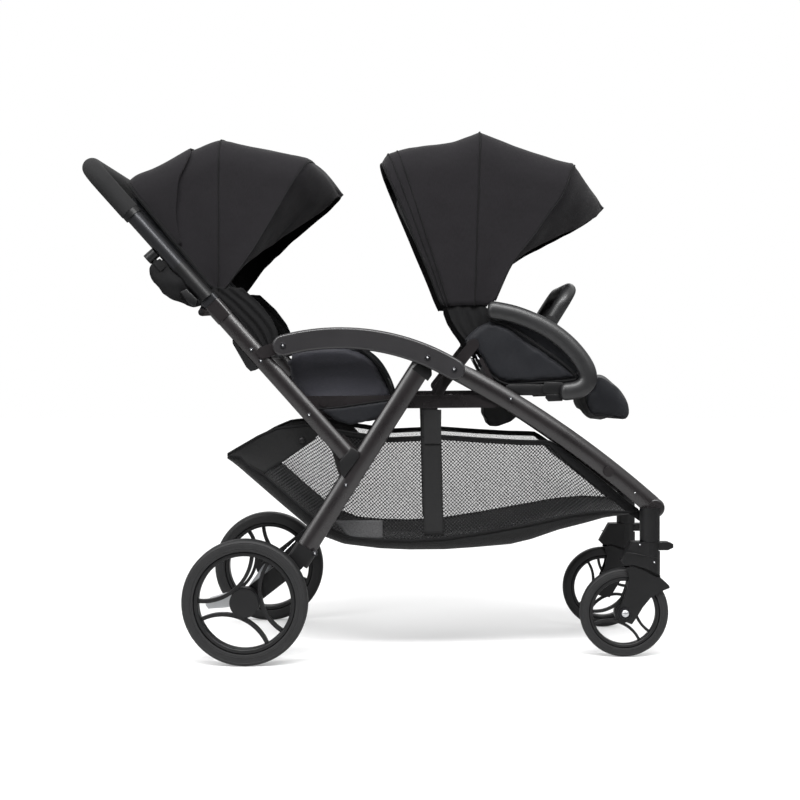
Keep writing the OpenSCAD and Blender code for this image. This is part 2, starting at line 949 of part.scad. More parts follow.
module front_hood_mid() {
    color(cloth)
        front_hood_part(1, front_hood_cuts[2] + 0.2, front_hood_cuts[1] - bow_turn, front_hem);
}

module front_hood_bow_mid() {
    color(coat) {
        front_hood_part(1, front_hood_cuts[1] - bow_turn, front_hood_cuts[1], front_hem - rib_drop);
        bow_arms(front_hinge, front_hood_cuts[1] - bow_turn / 2, front_hem - 3.3, front_hood_widths[1]);
    }
}

// The visor's lower edge rises in a straight line from the bow to the tip
module front_hood_visor() {
    color(cloth)
        intersection() {
            front_hood_part(2, front_hood_cuts[3], front_hood_cuts[2] - bow_turn, 150);
            side_plate(-200, 200)
                polygon([[240, 756], [470, 900], [470, 1100], [300, 1100]]);
        }
}

module front_hood_bow_front() {
    color(coat) {
        front_hood_part(2, front_hood_cuts[2] - bow_turn, front_hood_cuts[2], front_hem - rib_drop);
        bow_arms(front_hinge, front_hood_cuts[2] - bow_turn / 2, front_hem - 3.3, front_hood_widths[2]);
    }
}

// ---------------------------------------------------------------- bumper bar and calf rest

bar_foot = [338, 662];
bar_lean = 58;

// U-shaped bar that turns up from the arm loops
module bumper_bar() {
    arm = 80;
    bend = 40;
    color(rubber)
        lean(bar_foot, bar_lean) {
            both_sides()
                translate([0, 170, 0]) {
                    rotate([0, 90, 0]) cylinder(r = 14, h = arm - bend);
                    rotate([90, 0, 0]) cylinder(r = 15, h = 28, center = true);
                    translate([arm - bend, -bend, 0])
                        rotate_extrude(angle = 90) translate([bend, 0]) circle(14);
                }
            translate([arm, 130, 0]) rotate([90, 0, 0]) cylinder(r = 14, h = 260);
        }
}

// Padded flap that hangs from the front edge of the front seat
module calf_rest() {
    color(seat_cloth)
        board(150) polygon([[428, 560], [446, 556], [478, 520], [496, 478], [492, 472],
                            [426, 484], [418, 500], [424, 540]]);
}

// ---------------------------------------------------------------- the parts

arm_rails();
lower_push_tubes();
front_tubes();
head_tubes();
front_cross_tube();
seat_rails();
seat_cross_tubes();
frame_rivets();
latch_hooks();
leg_brackets();
rear_seat_base();
rear_seat_sides();
front_seat_base();
front_seat_sides();
arm_loops();
recline_links();
basket();
basket_straps();
harness_buckles();
handle_tube();
handle_collars();
handle_grip();
handle_pouch();
lock_sleeves();
rear_legs();
axle_brackets();
rear_axle();
leg_rivets();
brake_spring();
brake_pedal();
rear_rim(-1);  // rear_rim_right
rear_rim(1);  // rear_rim_left
rear_tyre(-1);  // rear_tyre_right
rear_tyre(1);  // rear_tyre_left
caster_housing(-1);  // caster_housing_right
caster_housing(1);  // caster_housing_left
caster_fork(-1);  // caster_fork_right
caster_fork(1);  // caster_fork_left
front_rim(-1);  // front_rim_right
front_rim(1);  // front_rim_left
front_tyre(-1);  // front_tyre_right
front_tyre(1);  // front_tyre_left
swivel_lock(-1);  // swivel_lock_right
swivel_lock(1);  // swivel_lock_left
rear_backrest();
front_backrest();
rear_hood_rear();
rear_hood_mid();
rear_hood_bow_mid();
rear_hood_visor();
rear_hood_bow_front();
front_hood_rear();
front_hood_mid();
front_hood_bow_mid();
front_hood_visor();
front_hood_bow_front();
bumper_bar();
calf_rest();
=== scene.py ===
import json
import math
from collections import namedtuple

import bmesh
import bpy
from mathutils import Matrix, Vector, noise

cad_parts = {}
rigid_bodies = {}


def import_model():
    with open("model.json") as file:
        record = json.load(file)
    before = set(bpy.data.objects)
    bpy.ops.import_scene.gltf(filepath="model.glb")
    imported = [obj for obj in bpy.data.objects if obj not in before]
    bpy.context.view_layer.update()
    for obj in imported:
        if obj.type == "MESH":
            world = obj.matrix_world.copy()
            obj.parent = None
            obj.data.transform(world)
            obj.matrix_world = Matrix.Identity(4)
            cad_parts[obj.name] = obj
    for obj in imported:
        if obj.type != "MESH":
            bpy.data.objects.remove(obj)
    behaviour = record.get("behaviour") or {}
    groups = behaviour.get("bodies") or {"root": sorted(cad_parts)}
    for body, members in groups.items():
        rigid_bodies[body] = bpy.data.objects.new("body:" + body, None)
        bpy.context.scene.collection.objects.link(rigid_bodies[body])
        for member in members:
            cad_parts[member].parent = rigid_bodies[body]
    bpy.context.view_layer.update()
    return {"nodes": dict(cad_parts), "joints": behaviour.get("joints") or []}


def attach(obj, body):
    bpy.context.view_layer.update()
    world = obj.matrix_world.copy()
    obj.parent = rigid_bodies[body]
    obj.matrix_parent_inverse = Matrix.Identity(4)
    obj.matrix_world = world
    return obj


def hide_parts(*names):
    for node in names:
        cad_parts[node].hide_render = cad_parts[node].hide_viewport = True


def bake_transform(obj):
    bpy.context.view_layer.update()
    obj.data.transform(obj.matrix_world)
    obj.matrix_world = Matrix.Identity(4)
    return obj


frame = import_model()

# ---------------------------------------------------------------- camera
# A level view at half the pushchair's height, from its right side. The shift
# frames it without tilting the camera, so uprights stay upright.

eye = bpy.data.objects.new("side_view", bpy.data.cameras.new("side_view"))
bpy.context.scene.collection.objects.link(eye)
eye.location = (0.0582, -3.35, 0.595)
eye.rotation_euler = (math.radians(90), 0, 0)
eye.data.sensor_width = 36
eye.data.lens = 71.8
eye.data.shift_x = -0.01125
eye.data.shift_y = -0.05375
eye.data.clip_end = 60
bpy.context.scene.camera = eye

# ---------------------------------------------------------------- studio
# A white floor that fades into a white surround, under four wide soft lamps.
# The floor shows a little brighter to the eye than it lights the object.


def linear(hex_colour):
    """An sRGB hex value as a linear colour with alpha."""
    parts = [int(hex_colour[i:i + 2], 16) / 255 for i in (1, 3, 5)]
    return (*[p / 12.92 if p <= 0.04045 else ((p + 0.055) / 1.055) ** 2.4
              for p in parts], 1)


def node(tree, kind, settings=None, links=None):
    """Adds a shader node, sets its properties and unlinked sockets, and links the rest."""
    made = tree.nodes.new("ShaderNode" + kind)
    for name, value in (settings or {}).items():
        if isinstance(name, str) and hasattr(made, name):
            setattr(made, name, value)
        else:
            made.inputs[name].default_value = value
    for name, source in (links or {}).items():
        tree.links.new(source, made.inputs[name])
    return made


def bare_material(name):
    """A new material with an empty node tree and its output."""
    material = bpy.data.materials.new(name)
    material.use_nodes = True
    material.node_tree.nodes.clear()
    return material, material.node_tree


def to_the_eye(tree):
    """1 where a ray comes straight from the camera or through an open weave."""
    seen = node(tree, "LightPath")
    return node(tree, "Math", {"operation": "MAXIMUM"},
                {0: seen.outputs["Is Camera Ray"],
                 1: seen.outputs["Is Transmission Ray"]}).outputs[0]


def nothing_selected():
    """Leaves edit mode and clears the selection."""
    if bpy.context.object and bpy.context.object.mode != "OBJECT":
        bpy.ops.object.mode_set(mode="OBJECT")
    for other in bpy.data.objects:
        other.select_set(False)


nothing_selected()
bpy.ops.mesh.primitive_plane_add(size=24, location=(0, 0, -0.0005))
floor = bpy.context.object
floor.name = "floor"
painted_floor, tree = bare_material("white_studio_floor")
where = node(tree, "TexCoord")
away = node(tree, "VectorMath", {"operation": "LENGTH"},
            {0: where.outputs["Object"]})
reach = {"From Min": 0.7, "From Max": 2.4}
glow = node(tree, "MapRange", {**reach, "To Min": 0.28, "To Max": 1.05},
            {"Value": away.outputs["Value"]})
glow = node(tree, "Math", {"operation": "MULTIPLY"},
            {0: to_the_eye(tree), 1: glow.outputs[0]})
paint = node(tree, "MapRange", {**reach, "To Min": 0.62, "To Max": 0.08},
             {"Value": away.outputs["Value"]})
matt = node(tree, "BsdfDiffuse", None, {"Color": paint.outputs[0]})
light = node(tree, "Emission", {"Color": (1, 1, 1, 1)},
             {"Strength": glow.outputs[0]})
both = node(tree, "AddShader", None, {0: matt.outputs[0], 1: light.outputs[0]})
node(tree, "OutputMaterial", None, {"Surface": both.outputs[0]})
floor.data.materials.append(painted_floor)

surround = bpy.data.worlds.new("white_surround")
bpy.context.scene.world = surround
surround.use_nodes = True
tree = surround.node_tree
tree.nodes.clear()
toward = node(tree, "TexCoord")
height = node(tree, "SeparateXYZ", None, {0: toward.outputs["Generated"]})
aside = node(tree, "Math", {"operation": "ABSOLUTE"}, {0: height.outputs["X"]})
raised = node(tree, "Math", {"operation": "MULTIPLY_ADD", 1: 0.35},
              {0: aside.outputs[0], 2: height.outputs["Z"]})
dome = node(tree, "MapRange",
            {"interpolation_type": "SMOOTHSTEP", "From Min": 0.15, "From Max": 0.75,
             "To Min": 0.03, "To Max": 1.2}, {"Value": raised.outputs[0]})
level = node(tree, "Mix", {"data_type": "FLOAT", 3: 1.0},
             {0: to_the_eye(tree), 2: dome.outputs[0]})
sky = node(tree, "Background", {"Color": (1, 1, 1, 1)},
           {"Strength": level.outputs[0]})
node(tree, "OutputWorld", None, {"Surface": sky.outputs[0]})


def soft_lamp(name, place, size, power):
    """A rectangular lamp that points at the middle of the pushchair."""
    lamp = bpy.data.objects.new(name, bpy.data.lights.new(name, "AREA"))
    bpy.context.scene.collection.objects.link(lamp)
    lamp.data.shape = "RECTANGLE"
    lamp.data.size, lamp.data.size_y = size
    lamp.data.energy = power
    lamp.location = place
    aim = Vector((0, 0, 0.5)) - Vector(place)
    lamp.rotation_euler = aim.to_track_quat("-Z", "Y").to_euler()


soft_lamp("lamp_overhead", (-0.1, -2.3, 2.9), (3.4, 0.7), 180)
soft_lamp("lamp_front_left", (-2.5, -2.4, 2.1), (0.9, 1.5), 42)
soft_lamp("lamp_front_right", (1.9, -2.4, 2.6), (0.9, 1.5), 34)
soft_lamp("lamp_behind", (0.4, 2.8, 2.2), (2.6, 1.4), 20)

bpy.context.scene.view_settings.view_transform = "Standard"

# ---------------------------------------------------------------- painted tubes
# Steel and aluminium tubes, powder coated in satin charcoal. The baked powder
# leaves a very shallow orange peel, so highlights run soft along each tube.


def dress(material, *names):
    """Gives the frame's solids their finish."""
    for name in names:
        for place in frame["nodes"][name].material_slots:
            place.material = material


def two_tones(tree, share, dark, light):
    """A colour between two hex colours."""
    return node(tree, "Mix",
                {"data_type": "RGBA", 6: linear(dark), 7: linear(light)},
                {0: share}).outputs[2]


def surfaced(material, tree, settings, links):
    """Closes a material with its shader and output."""
    shader = node(tree, "BsdfPrincipled", settings, links)
    node(tree, "OutputMaterial", None, {"Surface": shader.outputs[0]})
    return material


def grained(name, colour, lighter, roughness, grain_mm, depth_mm, metallic=0.0,
            patch_mm=60, shine=0.35):
    """A solid finish with fine grain, faint cloudy patches and slightly uneven gloss."""
    material, tree = bare_material(name)
    where = node(tree, "TexCoord")
    patches = node(tree, "TexNoise",
                   {"Scale": 1000 / patch_mm, "Detail": 3, "Roughness": 0.55},
                   {"Vector": where.outputs["Object"]})
    grain = node(tree, "TexNoise",
                 {"Scale": 1000 / grain_mm, "Detail": 2, "Roughness": 0.5},
                 {"Vector": where.outputs["Object"]})
    gloss = node(tree, "MapRange",
                 {"To Min": roughness - 0.06, "To Max": roughness + 0.08},
                 {"Value": patches.outputs["Fac"]})
    bump = node(tree, "Bump",
                {"Strength": 0.6, "Distance": depth_mm / 1000},
                {"Height": grain.outputs["Fac"]})
    return surfaced(material, tree,
                    {"Metallic": metallic, "IOR": 1.5, "Specular IOR Level": shine},
                    {"Base Color": two_tones(tree, patches.outputs["Fac"], colour, lighter),
                     "Roughness": gloss.outputs[0], "Normal": bump.outputs[0]})


# Polyester powder on steel: dark satin grey, with a 2 mm orange peel.
powder_coat = grained("powder_coated_steel", "#131112", "#1a1718", 0.27, 2.2, 0.03,
                      patch_mm=90, shine=0.5)
dress(powder_coat, "lower_push_tubes", "front_tubes", "front_cross_tube",
      "seat_rails", "seat_cross_tubes", "leg_brackets", "recline_links", "rear_legs")

# The arched rails have the same powder coat with a flatter gloss, painted a shade lighter:
# painted light for the brighter light that falls on them.
painted_lighter_rail_coat = grained("powder_coated_rail_painted_lighter", "#1b1a1b", "#201f21", 0.34, 2.2, 0.03,
                    patch_mm=90, shine=0.5)
dress(painted_lighter_rail_coat, "arm_rails")

# Anodised aluminium: the sliding upper push tube, dark grey with a metal sheen.
anodised = grained("dark_anodised_aluminium", "#242426", "#2a2b2d", 0.34, 1.2, 0.04,
                   metallic=0.6, patch_mm=140)
dress(anodised, "handle_tube")

# Glass-filled nylon: matt black mouldings with a fine spark-eroded grain.
moulded_nylon = grained("moulded_black_nylon", "#060607", "#0c0c0d", 0.40, 1.4, 0.10,
                        shine=0.28)
dress(moulded_nylon, "head_tubes", "latch_hooks", "harness_buckles", "handle_collars",
      "lock_sleeves", "caster_housing_right", "caster_housing_left",
      "caster_fork_right", "caster_fork_left", "swivel_lock_right", "swivel_lock_left",
      "handle_pouch", "basket_straps", "axle_brackets")

# Blackened steel: the rivets' heads and pins.
black_steel = grained("blackened_steel", "#2a2a2c", "#343436", 0.34, 0.8, 0.03,
                      metallic=0.9, patch_mm=12)
dress(black_steel, "frame_rivets", "leg_rivets")

# Nickel-plated steel: the brake's spring wire.
plated_steel = grained("nickel_plated_steel", "#b4b5b8", "#c6c7c9", 0.30, 0.8, 0.03,
                       metallic=1.0, patch_mm=12)
dress(plated_steel, "brake_spring")

# Zinc-plated axle tube, dulled by handling.
axle_steel = grained("zinc_plated_axle", "#85878a", "#95979a", 0.42, 1.0, 0.04,
                     metallic=0.9, patch_mm=20)
dress(axle_steel, "rear_axle")

# Light grey ABS: the foot pedal of the brake, lightly scuffed.
pedal_abs = grained("light_grey_abs", "#a9abad", "#bbbdbf", 0.48, 1.2, 0.10,
                    patch_mm=18)
dress(pedal_abs, "brake_pedal")

# ---------------------------------------------------------------- wheels
# Moulded nylon wheels with three bowed spokes carry solid EVA tyres. The
# tyres are dull and dusty, the rims a little glossier.

rim_nylon = grained("wheel_rim_nylon", "#070708", "#0e0e0f", 0.36, 1.6, 0.08, shine=0.3)
dress(rim_nylon, "rear_rim_right", "rear_rim_left", "front_rim_right", "front_rim_left")

eva_tyre = grained("solid_eva_tyre", "#0b0b0c", "#161617", 0.58, 1.8, 0.18,
                   patch_mm=14)
dress(eva_tyre, "rear_tyre_right", "rear_tyre_left", "front_tyre_right",
      "front_tyre_left")

# ---------------------------------------------------------------- grip foam
# A closed-cell foam sleeve round the push tube, matt and faintly pitted.

foam = grained("closed_cell_foam", "#0c0c0d", "#131314", 0.88, 1.6, 0.35, patch_mm=25)
dress(foam, "handle_grip")

# ---------------------------------------------------------------- canopy cloth
# Two-tone polyester, woven from charcoal and black yarn, with a dark lining.
# The yarns show as a faint fleck, and the cloth has a soft bloom at its edges.


def woven(name, warp, weft, thread_mm, fleck_mm, roughness, sheen, pucker_mm=0.5,
          cloud_mm=70):
    """Plain-woven cloth on the piece's own UV map, which is in metres."""
    material, tree = bare_material(name)
    where = node(tree, "UVMap", {"uv_map": "cloth"})
    threads = []
    for turn in (0, 90):
        laid = node(tree, "Mapping",
                    {"Rotation": (0, 0, math.radians(turn)), "Scale": (1, 7, 1)},
                    {"Vector": where.outputs["UV"]})
        threads.append(node(tree, "TexNoise",
                            {"Scale": 1000 / (fleck_mm * 7), "Detail": 2},
                            {"Vector": laid.outputs[0]}))
    fleck = node(tree, "Mix", {"data_type": "FLOAT", 0: 0.5},
                 {2: threads[0].outputs["Fac"], 3: threads[1].outputs["Fac"]})
    level = node(tree, "MapRange",
                 {"From Min": 0.36, "From Max": 0.64}, {"Value": fleck.outputs[0]})
    cloud = node(tree, "TexNoise", {"Scale": 1000 / cloud_mm, "Detail": 2},
                 {"Vector": where.outputs["UV"]})
    share = node(tree, "Math", {"operation": "MULTIPLY_ADD", 1: 0.35},
                 {0: cloud.outputs["Fac"], 2: level.outputs[0]})
    share = node(tree, "Math", {"operation": "MULTIPLY", 1: 0.74, "use_clamp": True},
                 {0: share.outputs[0]})
    weave = node(tree, "TexChecker", {"Scale": 1000 / thread_mm},
                 {"Vector": where.outputs["UV"]})
    pucker = node(tree, "TexNoise", {"Scale": 1000 / 9, "Detail": 3},
                  {"Vector": where.outputs["UV"]})
    height = node(tree, "Math", {"operation": "MULTIPLY_ADD", 1: 0.25},
                  {0: weave.outputs["Fac"], 2: pucker.outputs["Fac"]})
    bump = node(tree, "Bump",
                {"Strength": 0.7, "Distance": pucker_mm / 1000}, {"Height": height.outputs[0]})
    return surfaced(material, tree,
                    {"Roughness": roughness, "Sheen Weight": sheen,
                     "Sheen Roughness": 0.45, "Specular IOR Level": 0.16},
                    {"Base Color": two_tones(tree, share.outputs[0], warp, weft),
                     "Normal": bump.outputs[0]})


# Solution-dyed polyester, 1.2 mm flecks, matt with a light sheen.
canopy_cloth = woven("two_tone_woven_polyester", "#0d0c0e", "#171518", 1.0, 1.3, 0.84, 0.05)
# Knitted polyester lining, black and flat.
lining_cloth = woven("black_knitted_lining", "#060607", "#0d0d0e", 1.4, 1.6, 0.92, 0.02)


def smooth_curve(points, at):
    """The value of a smooth curve through (place, value) points, at one place."""
    points = sorted(points)
    at = min(max(at, points[0][0]), points[-1][0])
    i = max(k for k in range(len(points) - 1) if points[k][0] <= at)
    (x0, y0), (x1, y1) = points[i], points[i + 1]
    before = points[i - 1] if i else (2 * x0 - x1, 2 * y0 - y1)
    after = points[i + 2] if i + 2 < len(points) else (2 * x1 - x0, 2 * y1 - y0)
    t, span = (at - x0) / (x1 - x0), x1 - x0
    m0 = (y1 - before[1]) / (x1 - before[0]) * span
    m1 = (after[1] - y0) / (after[0] - x0) * span
    return ((2 * t ** 3 - 3 * t * t + 1) * y0 + (t ** 3 - 2 * t * t + t) * m0
            + (3 * t * t - 2 * t ** 3) * y1 + (t ** 3 - t * t) * m1)


def laid_in(name, mesh, *materials):
    """Puts a mesh into the scene as the one selected object."""
    piece = bpy.data.objects.new(name, mesh)
    bpy.context.scene.collection.objects.link(piece)
    for material in materials:
        mesh.materials.append(material)
    nothing_selected()
    piece.select_set(True)
    bpy.context.view_layer.objects.active = piece
    return piece


def mapped(mesh, place):
    """Gives the mesh a UV map from each point's place on the flat cloth, in metres."""
    uv = mesh.uv_layers.new(name="cloth")
    for loop in mesh.loops:
        uv.data[loop.index].uv = place(loop.vertex_index)


def lengths(points):
    """How far along a line of points each of them lies."""
    gone = [0.0]
    for a, b in zip(points, points[1:]):
        gone.append(gone[-1] + (Vector(b) - Vector(a)).length)
    return gone


def cloth_grid(name, rows, thick, outside, inside=None):
    """Sews rows of points into one sheet of cloth, with a UV map in metres."""
    count, across = len(rows), len(rows[0])
    faces = [(i * across + j, (i + 1) * across + j, (i + 1) * across + j + 1,
              i * across + j + 1) for i in range(count - 1) for j in range(across - 1)]
    mesh = bpy.data.meshes.new(name)
    mesh.from_pydata([point for row in rows for point in row], [], faces)
    middle = across // 2
    down = lengths([row[middle] for row in rows])
    along = [lengths(row) for row in rows]
    mapped(mesh, lambda k: (along[k // across][k % across] - along[k // across][middle],
                            down[k // across]))
    mesh.shade_smooth()
    sheet = laid_in(name, mesh, outside, inside or outside)
    wall = sheet.modifiers.new("wall", "SOLIDIFY")
    wall.thickness = thick
    wall.offset = -1
    wall.material_offset = 1
    wall.material_offset_rim = 0
    bpy.ops.object.modifier_apply(modifier="wall")
    return sheet


# ---------------------------------------------------------------- rear hood
# Three cloth panels stretched over two sprung bows that meet at the pivots.
# The cloth sags a little between bows and gathers in the short front visor.

joints = {joint["name"]: joint for joint in frame["joints"]}
Hood = namedtuple("Hood", "seat pivot bows roof half round_r sway")
rear_roof = [(128.8, .2955), (125, .297), (117.8, .2907), (111, .2925), (102.4, .3008),
             (96.7, .3077), (92.1, .3148), (90.6, .3165), (90, .3170), (89.4, .3160),
             (81.2, .3099), (72.1, .3117), (64.5, .3194), (59.1, .3280), (57.6, .3286),
             (57, .3262), (53.8, .3265), (48.5, .3225), (44.5, .3190), (42.3, .3185)]


def arch(pivot, angle, low, top, half, round_r, sway):
    """One cross-section of a hood, from the near hem over the roof to the far hem.

    sway gives the degrees to add to the angle at each distance from the pivot."""
    crown, up_side, over_roof = 0.008, 32, 18
    straight = top - round_r
    upright = max(0.0, straight - low)
    first = math.asin(min(max((low - straight) / round_r, 0.0), 1.0))
    run = upright + round_r * (math.pi / 2 - first)
    profile = []
    for k in range(up_side):
        gone = run * k / up_side
        bend = first + max(0.0, gone - upright) / round_r
        profile.append((max(low, straight) + round_r * (math.sin(bend) - math.sin(first))
                        if gone > upright or low > straight else low + gone,
                        half - round_r * (1 - math.cos(bend))))
    flat = half - round_r
    profile += [(top + crown * (1 - (1 - k / over_roof) ** 2), flat * (1 - k / over_roof))
                for k in range(over_roof + 1)]
    points = []
    for side, part in ((-1, profile), (1, profile[-2::-1])):
        for r, w in part:
            turn = math.radians(angle + sway(r))
            points.append(Vector((pivot.x + r * math.cos(turn), side * w,
                                  pivot.z + r * math.sin(turn))))
    return points


def sides_pulled_in(points, pivot, half, pull):
    """Draws the flat sides of a cross-section inwards, most at half height."""
    half_height = 0.15
    for p in points:
        reach = math.hypot(p.x - pivot.x, p.z - pivot.z)
        part = max(0.0, 1 - ((reach - half_height) / half_height) ** 2)
        if abs(p.y) > half * 0.6:
            p.y -= math.copysign(pull * part, p.y)
    return points


def creased(rows, amount, size, seed):
    """Lays soft creases into a sheet, along its surface's normals."""
    made = [[p.copy() for p in row] for row in rows]
    for i, row in enumerate(rows):
        for j, p in enumerate(row):
            a = rows[min(i + 1, len(rows) - 1)][j] - rows[max(i - 1, 0)][j]
            b = row[min(j + 1, len(row) - 1)] - row[max(j - 1, 0)]
            normal = a.cross(b)
            if normal.length < 1e-9:
                continue
            made[i][j] = p + normal.normalized() * amount * noise.noise(
                p / size + Vector((seed, 0, 0)))
    return made


def hood_panel(hood, name, solid, start, end, low, pull, seed,
               crease=0.0012, steps=None, narrow=None):
    """A panel between two angles about the pivots, with its sides drawn in a little."""
    steps = steps or int(abs(start - end) / 0.8)
    rows = []
    for i in range(steps + 1):
        t = i / steps
        angle = start + (end - start) * t
        wide = hood.half * (smooth_curve(narrow, t) if narrow else 1)
        points = arch(hood.pivot, angle, low(angle), smooth_curve(hood.roof, angle), wide,
                      min(hood.round_r, wide * 0.8), lambda r: hood.sway(angle, r))
        rows.append(sides_pulled_in(points, hood.pivot, hood.half,
                                    pull * math.sin(math.pi * t)))
    panel = cloth_grid(f"{hood.seat}_hood_{name}", creased(rows, crease, 0.035, seed),
                       0.0016, canopy_cloth, lining_cloth)
    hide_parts(f"{hood.seat}_hood_{solid}")
    return panel


visor_widths = [(0, 1), (.15, .93), (.32, .82), (.64, .62), (.84, .47), (.95, .33), (1, .24)]


def hood_panels(hood, back, tip, low, hem, pull, seeds, turning):
    """The two panels and the visor, which moves with the hood's front body. turning is not
    used: it would give where each panel starts and stops to turn with the next body, as angles
    at one distance from the pivot."""
    first, second = hood.bows
    panels = [hood_panel(hood, "back_panel", "rear", back, first, low, pull, seeds[0]),
              hood_panel(hood, "middle_panel", "mid", first, second, low, 0.005, seeds[1])]
    visor = hood_panel(hood, "visor_cloth", "visor", second, tip, hem, 0.003, seeds[2],
                       crease=0.0022, steps=34, narrow=visor_widths)
    bodies = [f"{hood.seat}_back", f"{hood.seat}_hood_middle", f"{hood.seat}_hood_front"]
    for panel, (start, end), a, b in zip(panels, turning, bodies, bodies[1:]):
        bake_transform(panel)
    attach(visor, bodies[2])


rear_seam_lean = [(.02, -7), (.071, -4.5), (.111, -3.8), (.177, -1.8), (.255, -0.4), (.33, 0)]


def rear_sway(angle, reach):
    """The front seam bends forward near the pivots, and the cloth behind it follows."""
    share = min(max((90 - angle) / 33, 0), 1) * min(max((angle - 42) / 10, 0), 1)
    return share * smooth_curve(rear_seam_lean, reach)


def rear_low(angle):
    """The panels stop at a round hem just above the pivots."""
    up, radius, turn = 0.0235, 0.017, math.radians(angle)
    return up * math.sin(turn) - math.sqrt(max(0.0, radius ** 2
                                               - (up * math.cos(turn)) ** 2))


rear_hood = Hood("rear", Vector(joints["rear_hood_fold"]["pos_m"]), (90, 57), rear_roof,
                 0.183, 0.058, rear_sway)
visor_hem = [(57, .030), (55, .075), (52.3, .110), (47.6, .150), (44.9, .191), (43.1, .232),
             (42.5, .262), (42.3, .276)]
hood_panels(rear_hood, 128.8, 42.3, rear_low, lambda a: smooth_curve(visor_hem, a), 0.006,
            (1.0, 5.0, 9.0),
            ((127, 91), (89, 58)))


def fasten(piece, body, slot, *covered):
    """Has a piece move with a body, in place of the solids that it covers."""
    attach(piece, body)
    if covered:
        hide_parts(*covered)


# A loose flap lies over the back panel. Its front edge is wavy and hangs free.
flap_roof = [(128.8, .2985), (125, .2993), (117.8, .2932), (111, .2946), (102.4, .3054),
             (101, .3068)]
flap_edge = [(.126, 124.9), (.147, 122.3), (.176, 118.7), (.198, 115.2), (.215, 112.4),
             (.243, 108.8), (.268, 104.2), (.290, 101.6), (.31, 101.6)]
flap_back, flap_turn, flap_low = 128.8, 27.2, 0.126
flap_rows = []
for i in range(25):
    t = i / 24
    flap_rows.append(arch(rear_hood.pivot, flap_back, flap_low,
                          smooth_curve(flap_roof, flap_back - flap_turn * t) + 0.0004,
                          rear_hood.half + 0.0012 + 0.0018 * t, rear_hood.round_r,
                          lambda r: -(flap_back - smooth_curve(flap_edge, r)) * t))
rear_flap = cloth_grid("rear_hood_flap", creased(flap_rows, 0.0012, 0.05, 3.0), 0.0014,
                       canopy_cloth, lining_cloth)
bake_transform(rear_flap)

# Piping: a cotton cord folded into a strip of black cloth, sewn into the seam
# over each bow. It runs from pivot to pivot and covers the sprung bow.


def cloth_tube(name, path, radius, material, sides=8, flat=1.0, round_end=0.0):
    """A tube along a path, pressed across it by flat, its ends rounded over a length."""
    gone = lengths(path)
    across = []
    for i, p in enumerate(path):
        ahead, behind = path[min(i + 1, len(path) - 1)], path[max(i - 1, 0)]
        along = (Vector(ahead) - Vector(behind)).normalized()
        side = along.cross(Vector((0.02, 1, 0.03)))
        side = side.normalized() if side.length > 1e-6 else Vector((1, 0, 0))
        up = side.cross(along).normalized()
        ring, girth = [], radius
        if round_end:
            end = min(gone[i], gone[-1] - gone[i]) / round_end
            girth *= max(0.55, math.sqrt(max(0.0, 1 - (1 - min(end, 1)) ** 2)))
        for k in range(sides):
            turn = 2 * math.pi * k / sides
            ring.append(Vector(p) + girth * (flat * math.cos(turn) * side
                                             + math.sin(turn) * up))
        across.append(ring)
    mesh = bpy.data.meshes.new(name)
    shape = bmesh.new()
    rings = [[shape.verts.new(p) for p in ring] for ring in across]
    for a, b in zip(rings, rings[1:]):
        for k in range(sides):
            shape.faces.new((a[k], a[(k + 1) % sides], b[(k + 1) % sides], b[k]))
    shape.faces.new(rings[0])
    shape.faces.new(reversed(rings[-1]))
    bmesh.ops.recalc_face_normals(shape, faces=shape.faces)
    for face in shape.faces:
        face.smooth = True
    shape.to_mesh(mesh)
    shape.free()
    mapped(mesh, lambda k: (k % sides * 2 * math.pi * radius / sides, k // sides * radius))
    return laid_in(name, mesh, material)


# Black polyester binding, smoother and darker than the panels.
binding = woven("black_polyester_binding", "#050506", "#0b0b0c", 0.9, 1.2, 0.80, 0.03,
                pucker_mm=0.3)


def bow_piping(hood, name, angle, radius, low, body, *covered):
    """A cord in its strip of cloth, laid over a bow from pivot to pivot."""
    proud = 0.0003
    path = arch(hood.pivot, angle, low, smooth_curve(hood.roof, angle) + proud,
                hood.half + proud, hood.round_r, lambda r: hood.sway(angle, r))
    piping = cloth_tube(f"{hood.seat}_hood_{name}", path, radius, binding)
    fasten(piping, body, "hood_cloth", *covered)


bow_piping(rear_hood, "middle_piping", 90, 0.0014, 0.010, "rear_hood_middle",
           "rear_hood_bow_mid")
bow_piping(rear_hood, "front_piping", 57, 0.0017, 0.010, "rear_hood_front",
           "rear_hood_bow_front")
bow_piping(rear_hood, "back_rim", 129.2, 0.0036, 0.020, "rear_back")

# ---------------------------------------------------------------- front hood
# The front child's hood is built the same way on wider panels. Its back seam
# is piped twice, and it stops short of the pivots in a hem above the seat.

front_roof = [(116.6, .408), (114.1, .4205), (113, .4208), (109.8, .4187), (103, .4130),
              (96.1, .4110), (91, .4205), (88.8, .4275), (88, .4295), (87.3, .4275),
              (81, .4145), (74, .4075), (67, .4085), (62, .4160), (60.7, .4190),
              (60, .4140), (57, .4090), (53.8, .4047), (49, .3980), (46.4, .3945),
              (45.5, .3952)]
front_hem_line = [(116.6, .098), (110, .088), (104, .083), (98, .080), (92, .078),
                  (88, .078), (80, .079), (72, .081), (66, .085), (62.5, .092),
                  (60.3, .099)]
front_back_lean = [(.078, 14), (.098, 11.8), (.158, 5.8), (.249, 2.3), (.33, .8), (.401, 0)]
front_seam_lean = [(.08, 3.2), (.10, 3.5), (.14, 4.3), (.175, 4.2), (.21, 2.2), (.25, 0.3),
                   (.30, -.5), (.34, -1.3), (.37, -.8), (.40, 0)]


def front_sway(angle, reach):
    """The back edge leans out over the backrest; the front seam bows."""
    if angle > 88:
        return min(1, (angle - 88) / 28.6) * smooth_curve(front_back_lean, reach)
    share = min((88 - angle) / 27.7, 1) * min(max((angle - 45) / 8, 0), 1)
    return share * smooth_curve(front_seam_lean, reach)


